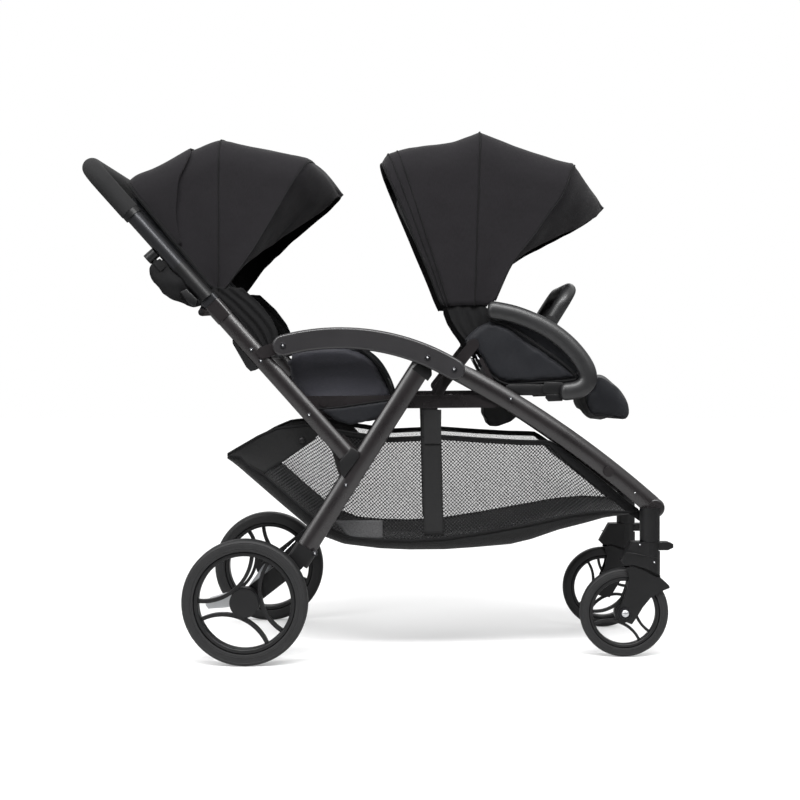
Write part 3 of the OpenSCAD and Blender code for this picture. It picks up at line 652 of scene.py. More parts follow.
def front_low(angle):
    return smooth_curve(front_hem_line, angle)


front_visor_hem = [(60.3, .170), (58, .208), (55, .243), (52, .276), (50, .300),
                   (48.2, .326), (46.6, .352), (45.6, .372)]
front_pivot = Vector(joints["front_hood_fold"]["pos_m"])
front_hood = Hood("front", front_pivot, (88, 60.3), front_roof, 0.183, 0.060, front_sway)
hood_panels(front_hood, 116.6, 45.6, front_low, lambda a: smooth_curve(front_visor_hem, a),
            0.005, (14.0, 23.0, 31.0),
            ((116, 89), (87, 61)))
for name, angle, radius, bow in (("middle", 88, 0.0014, "mid"),
                                 ("front", 60.3, 0.0020, "front")):
    bow_piping(front_hood, f"{name}_piping", angle, radius, front_low(angle) - 0.002,
               f"front_hood_{name}", f"front_hood_bow_{bow}")
for name, angle, radius in (("first", 113.8, 0.0013), ("second", 111.2, 0.0013),
                            ("edge", 116.6, 0.0024)):
    bow_piping(front_hood, f"{name}_back_seam", angle, radius, front_low(angle),
               "front_back")

# ---------------------------------------------------------------- seat cloth
# Slate-black ripstop nylon over thin foam. It is smoother than the canopy,
# slightly blue, and shows small puckers along every seam.

seat_nylon = woven("slate_black_nylon", "#0e0f12", "#17181c", 0.8, 1.1, 0.52, 0.04,
                   pucker_mm=1.0, cloud_mm=45)
# The same nylon painted lighter for the rear seat's sides: painted light for the brighter light
# that falls on them.
painted_lighter_side_nylon = woven("slate_black_nylon_painted_lighter", "#222226", "#2c2c32", 0.8, 1.1, 0.52, 0.04,
                   pucker_mm=1.0, cloud_mm=45)


def side_point(x, z, y=0.0):
    """A point given in millimetres in the side plane."""
    return Vector((x / 1000, y / 1000, z / 1000))


def swollen(name, shape, material, pressure, cap, voxel, lay):
    """Puffs a closed form as filled cloth, and keeps each point within the cap.

    lay gives each point's place on the flat cloth, or moves it first."""
    bmesh.ops.recalc_face_normals(shape, faces=shape.faces)
    mesh = bpy.data.meshes.new(name)
    shape.to_mesh(mesh)
    shape.free()
    pad = laid_in(name, mesh, material)
    weld = pad.modifiers.new("even_faces", "REMESH")
    weld.mode, weld.voxel_size = "VOXEL", voxel
    bpy.ops.object.modifier_apply(modifier="even_faces")
    before = [v.co.copy() for v in pad.data.vertices]
    cloth = pad.modifiers.new("filled", "CLOTH")
    cloth.settings.use_pressure = True
    cloth.settings.uniform_pressure_force = pressure
    cloth.settings.effector_weights.gravity = 0
    cloth.settings.quality = 4
    cloth.settings.mass = 0.3
    scene = bpy.context.scene
    for step in range(1, 21):
        scene.frame_set(step)
    shaped = pad.evaluated_get(bpy.context.evaluated_depsgraph_get())
    after = [v.co.copy() for v in shaped.data.vertices]
    pad.modifiers.remove(cloth)
    scene.frame_set(1)
    for v, was, now in zip(pad.data.vertices, before, after):
        move = now - was
        v.co = was + (move if move.length <= cap else move.normalized() * cap)
    pad.data.shade_smooth()
    places = [lay(v) for v in pad.data.vertices]
    mapped(pad.data, lambda k: places[k])
    return pad


def leaning(pivot, angle, along, off):
    """A point in millimetres from a hinge, along and off a leaning board."""
    turn = math.radians(angle)
    return (pivot.x * 1000 + along * math.cos(turn) - off * math.sin(turn),
            pivot.z * 1000 + along * math.sin(turn) + off * math.cos(turn))


def soft_pad(name, face_line, thick, half, crown, channels):
    """A cushion between two cloth faces: face_line runs along its top in the side plane.

    It is crowned across, its rim pulls in to a seam, and channels cross it."""
    edge, bolster, channel_deep, channel_wide = 0.016, 0.006, 0.004, 0.0042
    count, across = 34, 28
    points = [side_point(*p) for p in face_line]
    along = lengths(points)

    def rounded(inward):
        return math.sqrt(1 - (1 - min(inward / edge, 1)) ** 2)

    def upward(direction):
        normal = Vector((-direction.z, 0, direction.x))
        return normal if normal.z > 0 else -normal

    tops, unders = [], []
    shape = bmesh.new()
    for i in range(count + 1):
        s = along[-1] * i / count
        k = max(j for j in range(len(along) - 1) if along[j] <= s + 1e-9)
        p = points[k].lerp(points[k + 1], (s - along[k]) / (along[k + 1] - along[k]))
        normal = upward((points[k + 1] - points[k]).normalized())
        rise = rounded(min(i, count - i) / count * along[-1])
        tops.append([])
        unders.append([])
        for j in range(across + 1):
            w = -1 + 2 * j / across
            lift = rounded(half * (1 - abs(w)))
            depth = thick / 2 * rise * lift
            height = depth + crown * (1 - w * w) * rise
            height += bolster * math.exp(-((abs(w) - 0.82) / 0.12) ** 2) * rise * lift
            aside = Vector((0, w * half, 0))
            tops[-1].append(shape.verts.new(p + normal * height + aside))
            unders[-1].append(shape.verts.new(p - normal * depth + aside))
    for sheet in (tops, unders):
        for i in range(count):
            for j in range(across):
                shape.faces.new((sheet[i][j], sheet[i + 1][j], sheet[i + 1][j + 1],
                                 sheet[i][j + 1]))
    bmesh.ops.remove_doubles(shape, verts=shape.verts, dist=0.0004)
    start, whole = points[0], points[-1] - points[0]
    axis, normal = whole.normalized(), upward(whole.normalized())

    def quilted(v):
        s = (v.co - start).dot(axis)
        if (v.co - start).dot(normal) >= 0:
            for place in channels:
                near = s - place * whole.length
                v.co -= normal * channel_deep * math.exp(-(near / channel_wide) ** 2)
        return s, v.co.y

    pad = swollen(name, shape, seat_nylon, 4.0, 0.007, 0.006, quilted)
    return pad


# ---------------------------------------------------------------- rear seat
# A quilted seat pad and a reclining backrest between cloth sides that hang
# from the armrests. The sides are edged with a doubled, bound seam.

rear_seat_hinge = Vector(joints["rear_recline"]["pos_m"])
seat_channels, back_channels = (0.25, 0.5, 0.75), (0.2, 0.4, 0.6, 0.8)
rear_pad = soft_pad("rear_seat_pad",
                    [(-172, 526), (-120, 527), (-50, 528), (10, 530), (24, 526)],
                    0.024, 0.178, 0.007, seat_channels)
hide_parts("rear_seat_base")
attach(rear_pad, "frame")

rear_back_angle = 130.8
rear_rest = soft_pad("rear_back_pad",
                     [leaning(rear_seat_hinge, rear_back_angle, d, 13)
                      for d in (8, 120, 250, 380, 448)], 0.022, 0.165, 0.006, back_channels)
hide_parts("rear_backrest")
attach(rear_rest, "rear_back")


def rumpled(pad, amount, size, stretch, seed):
    """Pushes a closed cloth form in and out along its normals, in soft folds."""
    pad.data.update()
    moves = [v.normal * amount * noise.noise(
        Vector((v.co.x * stretch[0], v.co.y * stretch[1], v.co.z * stretch[2])) / size
        + Vector((seed, 0, 0))) for v in pad.data.vertices]
    for v, move in zip(pad.data.vertices, moves):
        v.co += move


def cloth_panel(name, outline, inner, outer, material, cap=0.006, voxel=0.005):
    """A thin stuffed panel with a side outline in millimetres, seamed round its rim."""
    shape = bmesh.new()
    middle = sum((side_point(*p) for p in outline), Vector()) / len(outline)
    inner, outer = sorted((inner, outer))
    depth = (outer - inner) / 1000
    rings = [[shape.verts.new(middle + (side_point(*p) - middle) * share
                              + Vector((0, inner / 1000 + depth * out, 0)))
              for p in outline] for share, out in ((0.965, 0.0), (1.0, 0.5), (0.965, 1.0))]
    for a, b in zip(rings, rings[1:]):
        for k in range(len(outline)):
            n = (k + 1) % len(outline)
            shape.faces.new((a[k], a[n], b[n], b[k]))
    shape.faces.new(rings[0])
    shape.faces.new(rings[-1])
    bmesh.ops.triangulate(shape, faces=[f for f in shape.faces if len(f.verts) > 4])
    panel = swollen(name, shape, material, 3.0, cap, voxel, lambda v: (v.co.x, v.co.z))
    return panel


rear_side_outline = [(-190, 585), (-176, 606), (-150, 618), (-90, 621), (-40, 614),
                     (-22, 602), (-9, 589), (2, 575), (11, 559), (19, 541), (24, 524),
                     (26, 511), (-6, 505), (-39, 500), (-80, 495), (-118, 491), (-150, 500),
                     (-178, 530)]
rear_lining_outline = [(-176, 608), (-150, 622), (-90, 624), (-40, 618), (-22, 606), (-5, 591),
                       (6, 577), (15, 560), (23, 541), (28, 524), (29, 512), (-78, 498),
                       (-160, 500), (-186, 540)]
HANDS = ((-1, "right"), (1, "left"))
for side, hand in HANDS:
    panel = cloth_panel(f"rear_seat_lining_{hand}", rear_lining_outline, side * 180.5,
                        side * 184.5, seat_nylon, cap=0.001, voxel=0.004)
    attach(panel, "frame")
    # The sides take the same nylon painted lighter, as painted light.
    panel = cloth_panel(f"rear_seat_side_{hand}", rear_side_outline, side * 184.5,
                        side * 191, painted_lighter_side_nylon)
    rumpled(panel, 0.005, 0.06, (0.6, 0.3, 1.6), 2.0)
    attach(panel, "frame")
    if side < 0:
        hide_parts("rear_seat_sides")

# ---------------------------------------------------------------- front seat
# The front seat repeats the pad and backrest. Padded tubes, like long hooks,
# hold up its cloth sides.

front_pad = soft_pad("front_seat_pad",
                     [(208, 560), (280, 560), (360, 560), (396, 558), (408, 552)],
                     0.024, 0.178, 0.007, seat_channels)
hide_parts("front_seat_base")
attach(front_pad, "frame")
front_back_angle = 116.6
front_rest = soft_pad("front_back_pad",
                      [leaning(front_pivot, front_back_angle, d, -15)
                       for d in (16, 100, 200, 290, 366)], 0.022, 0.160, 0.006, back_channels)
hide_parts("front_backrest")
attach(front_rest, "front_back")

front_side_outline = [(166, 631), (180, 645), (196, 660), (214, 669), (238, 664), (259, 656),
                      (286, 637), (325, 610), (360, 586), (391, 556), (389, 550), (339, 546),
                      (301, 543), (264, 541), (250, 541.5), (231, 550), (213, 565), (200, 588),
                      (186, 606)]
for side, hand in HANDS:
    panel = cloth_panel(f"front_seat_side_{hand}", front_side_outline, side * 184,
                        side * 190.5, seat_nylon, cap=0.004)
    rumpled(panel, 0.005, 0.06, (1.2, 0.3, 1.2), 7.0)
    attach(panel, "frame")
    if side < 0:
        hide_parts("front_seat_sides")

# The seat's inner sides of thinner cloth reach up to the padded arms.
inner_side_outline = [(205, 640), (214, 676), (262, 674), (300, 660), (335, 640), (366, 616),
                      (392, 588), (400, 566), (388, 552), (300, 552), (236, 560)]
for side, hand in HANDS:
    panel = cloth_panel(f"front_seat_lining_{hand}", inner_side_outline, side * 179.5,
                        side * 183.5, seat_nylon, cap=0.002)
    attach(panel, "frame")

# Thermoplastic rubber moulded over the tubes: satin, smoother than foam.
arm_rubber = grained("arm_rubber", "#131314", "#19191a", 0.40, 2.0, 0.06, shine=0.45)
dress(arm_rubber, "bumper_bar")


def even_path(points, spacing):
    """A line through points, with its corners cut twice, as evenly spaced points."""
    for _ in range(2):
        cut = [points[0]]
        for a, b in zip(points, points[1:]):
            cut += [a.lerp(b, 0.25), a.lerp(b, 0.75)]
        points = cut + [points[-1]]
    gone = lengths(points)
    count = max(2, round(gone[-1] / spacing))
    made, k = [], 0
    for i in range(count + 1):
        s = gone[-1] * i / count
        while k < len(gone) - 2 and gone[k + 1] < s:
            k += 1
        made.append(points[k].lerp(points[k + 1], (s - gone[k]) / (gone[k + 1] - gone[k])))
    return made


hook_path = [(213, 689), (236, 686), (264, 680), (287, 672), (311, 662), (337, 648),
             (364, 628), (385, 607), (403, 583), (412.5, 562), (411, 544), (396, 531),
             (370, 526.5), (357, 527)]
for side, hand in HANDS:
    path = even_path([side_point(x, z, side * 202) for x, z in hook_path], 0.005)
    hook = cloth_tube(f"padded_arm_{hand}", path, 0.0102, arm_rubber, sides=28, flat=1.72,
                      round_end=0.008)
    fasten(hook, "frame", "coat", *(["arm_loops"] if side < 0 else []))

# ---------------------------------------------------------------- calf rest
# A puffy flap of the same nylon that hangs off the seat's front edge.

calf_outline = [(432, 560), (442, 560), (454, 553), (472, 536), (483, 517), (492, 500),
                (497, 481), (493, 471), (475, 471), (448, 477), (424, 482), (415, 497),
                (414, 516), (424, 530), (428, 546)]
calf = cloth_panel("calf_rest_pad", calf_outline, -148, 148, seat_nylon, cap=0.009)
rumpled(calf, 0.011, 0.045, (1, 0.5, 0.6), 4.0)
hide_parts("calf_rest")
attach(calf, "calf")

# ---------------------------------------------------------------- basket
# A bag of black polyester hung between the tubes. Its sides are open net,
# with bound edges and a cord along the floor's rim.


def net(name, pitch_mm, hole):
    """Knitted net on the piece's own UV map: rows of round holes, set staggered."""
    material, tree = bare_material(name)
    where = node(tree, "UVMap", {"uv_map": "cloth"})
    laid = node(tree, "Mapping",
                {"Rotation": (0, 0, math.radians(45)),
                 "Scale": (1000 / pitch_mm, 1000 / pitch_mm, 1)},
                {"Vector": where.outputs["UV"]})
    cells = node(tree, "TexVoronoi",
                 {"voronoi_dimensions": "2D", "Scale": 1.0, "Randomness": 0.08},
                 {"Vector": laid.outputs[0]})
    open_part = node(tree, "MapRange",
                     {"From Min": hole - 0.05, "From Max": hole + 0.05},
                     {"Value": cells.outputs["Distance"]})
    tone = node(tree, "TexNoise", {"Scale": 40.0, "Detail": 2},
                {"Vector": where.outputs["UV"]})
    bump = node(tree, "Bump", {"Strength": 0.8, "Distance": 0.0006},
                {"Height": cells.outputs["Distance"]})
    return surfaced(material, tree, {"Roughness": 0.6, "Specular IOR Level": 0.3},
                    {"Base Color": two_tones(tree, tone.outputs["Fac"], "#0c0c0d", "#1c1c1d"),
                     "Normal": bump.outputs[0], "Alpha": open_part.outputs[0]})


# Warp-knitted polyester net, 5 mm between holes on the right and 1.6 mm on the left.
side_net = net("black_warp_knit_net", 5.0, 0.43)
far_net = net("fine_black_warp_knit_net", 1.6, 0.42)
# Coated polyester of the floor and borders, black with a slight gloss in its folds.
basket_cloth = woven("coated_black_polyester", "#0e0e0f", "#191919", 0.9, 1.2, 0.62, 0.03,
                     pucker_mm=1.0, cloud_mm=50)

basket_rim = [(-301, 403), (-279, 416), (-236, 441), (-202, 455), (-140, 461), (-60, 447),
              (20, 435), (85, 438), (122, 440), (208, 434), (279, 430), (335, 429),
              (352, 419), (370, 406), (407, 377), (448, 344), (480, 317), (500, 301),
              (522, 286)]
basket_cord = [(-301, 398), (-279, 401), (-264, 383), (-227, 360), (-165, 305),
               (-128, 274), (-91, 252), (-57, 238), (0, 233), (60, 232), (130, 236),
               (219, 250), (302, 265), (377, 280), (440, 287), (522, 284)]
basket_floor = [(-301, 392), (-273, 368), (-211, 314), (-143, 256), (-110, 236),
                (-72, 222), (0, 213), (60, 210.5), (130, 211), (190, 215), (260, 221),
                (302, 231), (358, 249), (414, 262), (451, 272), (522, 282)]


def line_at(points, x):
    """Straight lines between (place, value) points."""
    if x <= points[0][0]:
        return points[0][1]
    for (x0, z0), (x1, z1) in zip(points, points[1:]):
        if x <= x1:
            return z0 + (z1 - z0) * (x - x0) / (x1 - x0)
    return points[-1][1]


def basket_half(x):
    """Half the basket's width, which narrows between the front tubes."""
    return 194.5 if x <= 300 else 194.5 - 40 * (x - 300) / 220


def basket_wall(x, z, off=0.0):
    """How far out the side net stands at a place, drawn in a little at half height."""
    top, cord = line_at(basket_rim, x), line_at(basket_cord, x)
    inward = math.sin(math.pi * min(max((z - cord) / max(top - cord, 12), 0), 1))
    ripple = 1.2 * math.sin(x / 31) * inward
    return basket_half(x) - 5.5 * inward * min(1, (top - cord) / 90) + ripple + off


def side_sheet(name, side, start, end, upper, lower, off, material, across):
    """Part of a basket side between two lines, laid on the net or standing off it."""
    count = int((end - start) / 6)
    rows = []
    for i in range(count + 1):
        x = start + (end - start) * i / count
        high, low = upper(x), lower(x)
        heights = [high + (low - high) * j / across for j in range(across + 1)]
        rows.append([side_point(x, z, side * basket_wall(x, z, off)) for z in heights])
    piece = cloth_grid(name, rows[::-side], 0.0009, material)
    fasten(piece, "frame", "mesh_cloth")


def rim_at(x):
    return line_at(basket_rim, x)


def cord_at(x):
    return line_at(basket_cord, x)


# The hem is a folded tape along the rim, wider where the basket narrows. The
# collar is the cloth band at the back, above this line.
collar_line = [(-301, 399), (-279, 400), (-264, 383), (-227, 361), (-222, 369), (-196, 384),
               (-128, 432), (-120, 446)]
for side, hand in HANDS:
    side_sheet(f"basket_net_{hand}", side, -222, 522, lambda x: rim_at(x) - 5,
               lambda x: cord_at(x) - 1, 0.0, side_net if side < 0 else far_net, 30)
    side_sheet(f"basket_hem_{hand}", side, -130, 522, lambda x: rim_at(x) + 0.5,
               lambda x: rim_at(x) - (9 + 12 * min(1, max(0, x - 335) / 40)), 1.4, binding, 4)
    side_sheet(f"basket_collar_{hand}", side, -301, -120, lambda x: rim_at(x) + 0.5,
               lambda x: line_at(collar_line, x), 1.2, basket_cloth, 10)
    for name, radius, path in (
            ("floor", 0.0028, [side_point(x, cord_at(x), side * (basket_half(x) + 1.5))
                               for x in range(-300, 523, 12)]),
            ("rim", 0.0026, [side_point(x, rim_at(x) - 1,
                                        side * basket_wall(x, rim_at(x), 0.8))
                             for x in range(-300, 523, 12)])):
        cord = cloth_tube(f"basket_{name}_cord_{hand}", path, radius, binding)
        fasten(cord, "frame", "mesh_cloth")

floor_rows, corner = [], 46
for i in range(136):
    x = -301 + 823 * i / 135
    cord_z, floor_z, half = cord_at(x), line_at(basket_floor, x), basket_half(x)
    half_row = []
    for k in range(9):
        turn = math.pi / 2 * k / 8
        half_row.append((half - corner * (1 - math.cos(turn)) + 1.0 * math.sin(2 * turn),
                         cord_z + (floor_z - cord_z) * math.sin(turn)))
    for k in range(1, 9):
        y = (half - corner) * (1 - k / 8)
        half_row.append((y, floor_z - 2.0 * (1 - (y / (half - corner)) ** 2)
                         + 0.8 * math.sin(x / 17 + y / 29)))
    floor_rows.append([side_point(x, z, -y) for y, z in half_row]
                      + [side_point(x, z, y) for y, z in half_row[-2::-1]])
basket_base = cloth_grid("basket_floor_cloth", floor_rows, 0.0012, basket_cloth)
fasten(basket_base, "frame", "mesh_cloth", "basket")

# A polyester web strap carries each side of the basket from the seat rail. A
# bare, speckled label is sewn low on the right side.
webbing = grained("polyester_webbing", "#070708", "#0d0d0e", 0.78, 1.2, 0.25, patch_mm=8,
                  shine=0.3)
dress(webbing, "basket_straps")
label_film = grained("speckled_grey_label", "#0c0c0d", "#4a4a4b", 0.85, 1.5, 0.05,
                     patch_mm=2.5)
for side, hand in HANDS:
    rows = []
    for i in range(26):
        z = 489 - 246 * i / 25
        lean = 6 * i / 25
        y = basket_wall(100, min(z, 436), 3.2)
        rows.append([side_point(82 + lean + 39 * j / 6, z, side * y) for j in range(7)])
    strap = cloth_grid(f"basket_strap_{hand}", rows[::-side], 0.0016, webbing)
    fasten(strap, "frame", "mesh_cloth")
    if side < 0:
        rows = []
        for i in range(9):
            z = 272 - 36 * i / 8
            rows.append([side_point(-91 + 4 * i + (97 - 4 * i) * j / 12, z,
                                    -basket_wall(-40, max(z, 246), 2.6))
                         for j in range(13)])
        label = cloth_grid("basket_label", rows, 0.0006, label_film)
        fasten(label, "frame", "mesh_cloth")

# ---------------------------------------------------------------- front seat details
# Loose black cloth joins the hood's hem to the seat's sides. Moulded nylon
# blocks and a steel rod carry the seat on the frame below it.


def along_line(points, t):
    """A point at a share of the way along a line of points."""
    gone = [0.0]
    for a, b in zip(points, points[1:]):
        gone.append(gone[-1] + math.dist(a, b))
    s = min(max(t, 0), 1) * gone[-1]
    k = max(i for i in range(len(gone) - 1) if gone[i] <= s)
    share = (s - gone[k]) / (gone[k + 1] - gone[k])
    return [a + (b - a) * share for a, b in zip(points[k], points[k + 1])]


def wing(name, first, second, y_top, y_low, folds, depth, seed):
    """A loose sheet between two edges in the side plane, hanging in folds."""
    made, rows, across = [], 26, 44
    for i in range(rows + 1):
        t = i / rows
        a, b = along_line(first, t), along_line(second, t)
        row = []
        for j in range(across + 1):
            u = j / across
            wave = math.sin(math.pi * (folds * u + seed + 0.6 * math.sin(3 * t + seed)))
            soft = math.sin(math.pi * u) ** 0.5
            y = y_top + (y_low - y_top) * t + depth * wave * soft * (0.5 + 0.5 * t)
            row.append(side_point(a[0] + (b[0] - a[0]) * u, a[1] + (b[1] - a[1]) * u, y))
        made.append(row)
    return cloth_grid(name, made, 0.0012, binding)


for side, hand in HANDS:
    loose = wing(f"front_seat_wing_{hand}",
                 [(134, 702), (134, 690), (142, 668), (155, 647), (168, 630), (184, 604)],
                 [(208, 702), (214, 690), (226, 672), (232, 650), (222, 622), (206, 590)],
                 side * 175, side * 183, 7, 2.8 * side, 0.3)
    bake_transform(loose)


def plate(name, outline, y0, y1, soft, body="frame", material=moulded_nylon,
          slot="moulded"):
    """A moulded part with an outline in the side plane and softened edges."""
    mesh = bpy.data.meshes.new(name)
    y0, y1 = sorted((y0, y1))
    mesh.from_pydata([side_point(x, z, y0) for x, z in outline], [],
                     [list(range(len(outline)))])
    piece = laid_in(name, mesh, material)
    bpy.ops.object.mode_set(mode="EDIT")
    bpy.ops.mesh.select_all(action="SELECT")
    bpy.ops.mesh.extrude_region_move(TRANSFORM_OT_translate={"value": (0, (y1 - y0) / 1000, 0)})
    bpy.ops.mesh.select_all(action="SELECT")
    bpy.ops.mesh.bevel(offset=soft / 1000, segments=3, affect="EDGES")
    bpy.ops.mesh.remove_doubles(threshold=0.00002)
    bpy.ops.mesh.normals_make_consistent(inside=False)
    bpy.ops.object.mode_set(mode="OBJECT")
    bpy.ops.object.shade_smooth_by_angle(angle=math.radians(40))
    fasten(piece, body, slot)


def rivets(name, spots, radius, height, material, body, slot="moulded"):
    """Domed heads on a face; each spot is (x, z, y), and all is in millimetres."""
    heads = laid_in(name, bpy.data.meshes.new(name), material)
    bpy.ops.object.mode_set(mode="EDIT")
    for x, z, y in spots:
        bpy.ops.mesh.primitive_uv_sphere_add(segments=20, ring_count=10, radius=radius / 1000,
                                             location=side_point(x, z, y),
                                             scale=(1, height / radius, 1))
    bpy.ops.object.mode_set(mode="OBJECT")
    heads.data.shade_smooth()
    fasten(heads, body, slot)


for side, hand in HANDS:
    plate(f"front_seat_runner_{hand}",
          [(250, 538), (256, 541), (366, 541), (366, 519), (262, 519), (250, 524)],
          side * 183, side * 194, 1.5)
    plate(f"front_seat_latch_{hand}",
          [(322, 536), (327, 546), (362, 545), (366, 538), (366, 522), (322, 524)],
          side * 192, side * 197, 1.2)
    plate(f"front_seat_lower_latch_{hand}",
          [(330, 523), (362, 521), (362, 508), (334, 507), (328, 514)],
          side * 187, side * 195, 1.2)
    turns = [2 * math.pi * k / 28 for k in range(28)]
    plate(f"front_hinge_boss_{hand}",
          [(185 + 13.5 * math.cos(turn), 621 + 13.5 * math.sin(turn)) for turn in turns],
          side * 186.5, side * 193, 1.6)
    rod = cloth_tube(f"front_recline_rod_{hand}",
                     [side_point(191, 600, side * 196), side_point(213, 562, side * 196)],
                     0.0013, plated_steel, sides=12)
    fasten(rod, "frame", "steel")
plate("front_seat_pocket",
      [(212, 532), (286, 532), (286, 478), (268, 462), (240, 452), (222, 453), (216, 470),
       (212, 474)], -70, 70, 4)

# ---------------------------------------------------------------- rivets and caps
# Pressed steel rivets in dark washers, and moulded caps where the tubes end.

frame_spots = [(-186, 617.3, 261), (94, 594, 261), (145.5, 570.9, 261),
               (-249, 609, 241.5), (-230.5, 587, 241.5), (-136.5, 482, 241.5),
               (258, 513, 218.5), (506, 326, 187)]
leg_spots = [(-64.8, 345, 241.5), (-124.6, 213, 249.5)]
dome_r, dome_height = 1.7, 1.2
for part, body, spots in (("frame", "frame", frame_spots),
                          ("leg", "rear_leg_set", leg_spots)):
    for side, hand in HANDS:
        rivets(f"{part}_washers_{hand}", [(x, z, side * y) for x, z, y in spots],
               4.4, 1.5, black_steel, body)
        rivets(f"{part}_domes_{hand}", [(x, z, side * (y + 1)) for x, z, y in spots],
               dome_r, dome_height, plated_steel, body)

# ---------------------------------------------------------------- rear seat details
# Bound seams edge the seat's sides. A cloth skirt hides the rail beside the
# seat, and loose cloth joins the rear hood to the push tubes.

skirt_outline = [(-121, 493), (-78, 497), (-38, 503), (27, 511), (29, 495), (17, 483),
                 (-9, 469), (-58, 459), (-87, 468), (-113, 487)]
seam_line = [(-46, 617), (-33, 608), (-9, 589), (10.6, 559), (22.5, 530), (27, 511)]
skirt_seam = [(-121, 492), (-78, 496), (-38, 502.5), (27, 511.5)]
front_seam = [(214, 669), (238, 664), (259, 656), (286, 637), (325, 610), (360, 586),
              (391, 556), (389, 549), (339, 545.5), (301, 542.5), (264, 540.5), (250, 541),
              (231, 550), (213, 565), (200, 588)]
for side, hand in HANDS:
    skirt = cloth_panel(f"rear_seat_skirt_{hand}", skirt_outline, side * 203, side * 208,
                        seat_nylon, cap=0.002, voxel=0.0028)
    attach(skirt, "frame")
    for name, line, y, radius in (("rear_seat_seam", seam_line, 190, 0.0030),
                                  ("rear_skirt_seam", skirt_seam, 207.5, 0.0020),
                                  ("front_seat_seam", front_seam, 190, 0.0024)):
        path = even_path([side_point(x, z, side * y) for x, z in line], 0.006)
        seam = cloth_tube(f"{name}_{hand}", path, radius, binding, sides=10)
        fasten(seam, "frame", "seat_cloth")
    loose = wing(f"rear_hood_wing_{hand}",
                 [(-345, 735), (-310, 705), (-270, 660), (-235, 612)],
                 [(-272, 732), (-237, 700), (-213, 668), (-203, 646), (-200, 612)],
                 side * 184, side * 189, 6, 2.6 * side, 1.7)
    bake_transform(loose)
    bag = cloth_panel(f"push_bar_pouch_{hand}",
                      [(-449, 770), (-445, 753), (-440, 739), (-432, 731), (-424, 716),
                       (-417, 711), (-397, 702), (-373, 693), (-361, 691), (-345, 702),
                       (-358, 724), (-385, 748), (-405, 769), (-418, 785), (-440, 790)],
                      side * 226, side * 243, binding, cap=0.004)
    rumpled(bag, 0.012, 0.03, (1, 0.4, 1), 3.0)
    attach(bag, "handle")
    plate(f"sleeve_latch_{hand}",
          [(-387, 721), (-374, 728), (-352, 706), (-356, 692), (-368, 697)],
          side * 236, side * 252, 2.0, "sleeves")
    plate(f"push_tube_foot_{hand}",
          [(-53, 420), (-39, 410), (-38, 402), (-69, 359), (-76, 372), (-77, 392)],
          side * 238, side * 246, 1.8)
    plate(f"recline_strut_foot_{hand}",
          [(126, 561), (146, 556), (121, 512), (98, 504), (106, 514)],
          side * 193.5, side * 199, 1.2, material=powder_coat, slot="coat")
    plate(f"leg_top_cap_{hand}", [(64, 572), (76, 583), (102, 577), (103, 560), (95, 548)],
          side * 230, side * 242.6, 0.8, "rear_leg_set")
    rivets(f"basket_snap_{hand}", [(-153, 430, side * 197.5)], 6.0, 2.2, moulded_nylon,
           "frame")

# ---------------------------------------------------------------- wheel details
# Moulding lines ring each tyre. Pressed steel nuts close the front axles, and
# steel rivets and a step mark the two halves of each caster's housing.


def rings(name, centre, faces, material, body, slot="tyre"):
    """Raised rings about an axle; each is (radius, half width, height, y) in millimetres."""
    mesh = bpy.data.meshes.new(name)
    verts, polygons = [], []
    for radius, wide, tall, y in faces:
        start, count, out = len(verts), 96, 1 if y > 0 else -1
        section = [(-wide, 0), (-wide * 0.6, tall * 0.8), (0, tall), (wide * 0.6, tall * 0.8),
                   (wide, 0), (0, -1)]
        for k in range(count):
            turn = 2 * math.pi * k / count
            verts += [side_point(centre[0] + (radius + a) * math.cos(turn),
                                 centre[1] + (radius + a) * math.sin(turn), y + out * b)
                      for a, b in section]
        size = len(section)
        for k in range(count):
            a, b = start + k * size, start + (k + 1) % count * size
            polygons += [(a + m, a + (m + 1) % size, b + (m + 1) % size, b + m)
                         for m in range(size)]
    mesh.from_pydata(verts, [], polygons)
    piece = laid_in(name, mesh, material)
    bpy.ops.object.mode_set(mode="EDIT")
    bpy.ops.mesh.select_all(action="SELECT")
    bpy.ops.mesh.normals_make_consistent(inside=False)
    bpy.ops.object.mode_set(mode="OBJECT")
    bpy.ops.object.shade_smooth_by_angle(angle=math.radians(40))
    fasten(piece, body, slot)


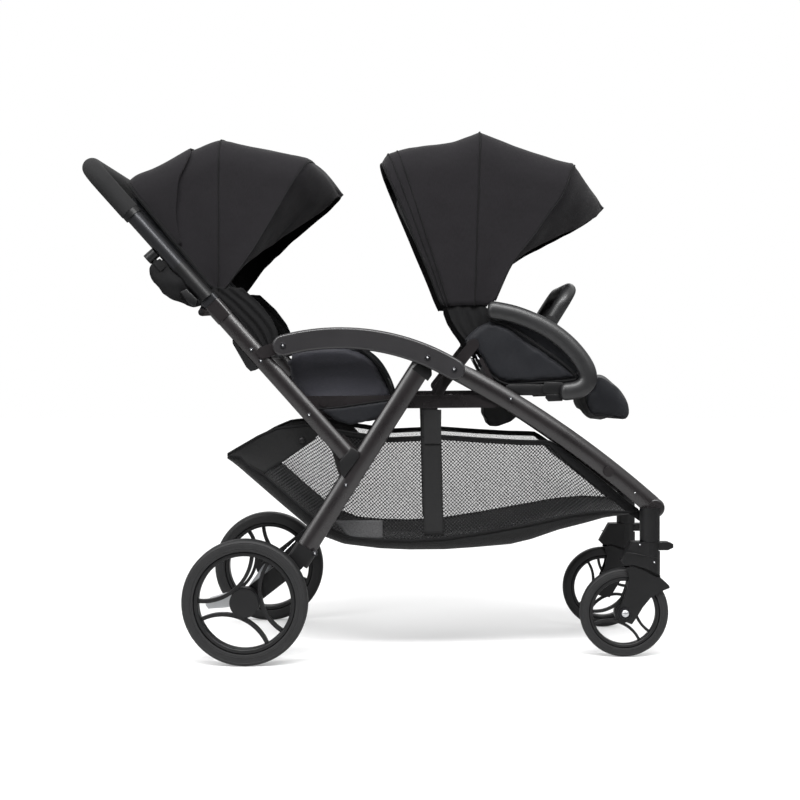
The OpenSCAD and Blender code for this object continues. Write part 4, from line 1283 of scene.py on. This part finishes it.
rear_axle, front_axle = (-258.4, 122), (485.6, 88)
for side, hand in HANDS:
    rings(f"rear_tyre_rings_{hand}", rear_axle,
          [(116.0, 1.6, 1.0, side * 287), (105.5, 1.4, 1.0, side * 287.6)], eva_tyre,
          f"rear_wheel_{hand}")
    rings(f"front_tyre_rings_{hand}", front_axle,
          [(82.5, 1.4, 0.9, side * 187), (74.5, 1.2, 0.9, side * 187.6)], eva_tyre,
          f"front_wheel_{hand}")
    rings(f"front_axle_washer_{hand}", front_axle, [(10.2, 1.6, 1.2, side * 197.2)],
          black_steel, f"caster_{hand}", slot="steel")
    rivets(f"front_axle_nut_{hand}", [(*front_axle, side * 197)], 8.0, 5.0, plated_steel,
           f"caster_{hand}", slot="steel")
    for name, radius, height, out, material in (
            ("rivets", 3.4, 1.6, 195.8, black_steel),
            ("rivet_domes", dome_r, dome_height, 196.8, plated_steel)):
        rivets(f"caster_{name}_{hand}", [(514.5, 224, side * out), (543, 189, side * out)],
               radius, height, material, "frame")
    seam = cloth_tube(f"caster_seam_{hand}",
                      [side_point(486, 210, side * 196), side_point(552, 197, side * 196)],
                      0.0009, rim_nylon)
    fasten(seam, "frame", "moulded")

# ---------------------------------------------------------------- harnesses
# Each seat has a five-point harness of 25 mm polyester web. Two padded shoulder
# straps leave slots 318 mm up the backrest, and two straps cross the lap.


def harness(seat, hinge, angle, off, body, buckle, corner, slack):
    """The straps of one seat, from slots in its backrest to the buckle."""
    half_web, pressed = 0.0125, 0.13
    for side, hand in HANDS:
        down = [leaning(hinge, angle, d, off) for d in (318, 250, 160, 50)]
        path = [side_point(x, z, side * y) for (x, z), y in zip(down, (58, 57, 54, 50))]
        path += [side_point(*slack, side * 40), side_point(*buckle, side * 17)]
        strap = cloth_tube(f"{seat}_shoulder_strap_{hand}", even_path(path, 0.008), half_web,
                           webbing, sides=12, flat=pressed)
        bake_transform(strap)
        sleeve = [side_point(*leaning(hinge, angle, d, off - 3), side * (57 - (250 - d) / 40))
                  for d in (292, 250, 200, 152)]
        sleeve = cloth_tube(f"{seat}_shoulder_pad_{hand}", even_path(sleeve, 0.006), 0.021,
                            seat_nylon, sides=24, flat=0.26, round_end=0.014)
        fasten(sleeve, body, "seat_cloth")
        lap = [side_point(buckle[0] - 4, buckle[1] - 14, side * 22),
               side_point(buckle[0] * 0.6 + corner[0] * 0.4,
                          buckle[1] * 0.5 + corner[1] * 0.5, side * 75),
               side_point(corner[0] + 14, corner[1] + 6, side * 132),
               side_point(*corner, side * 166)]
        strap = cloth_tube(f"{seat}_lap_strap_{hand}", even_path(lap, 0.008), half_web,
                           webbing, sides=12, flat=pressed)
        fasten(strap, "frame", "seat_cloth")


harness("rear", rear_seat_hinge, rear_back_angle, -8, "rear_back", (-100, 628),
        (-158, 556), (-170, 598))
harness("front", front_pivot, front_back_angle, -37, "front_back", (268, 658),
        (216, 590), (232, 634))
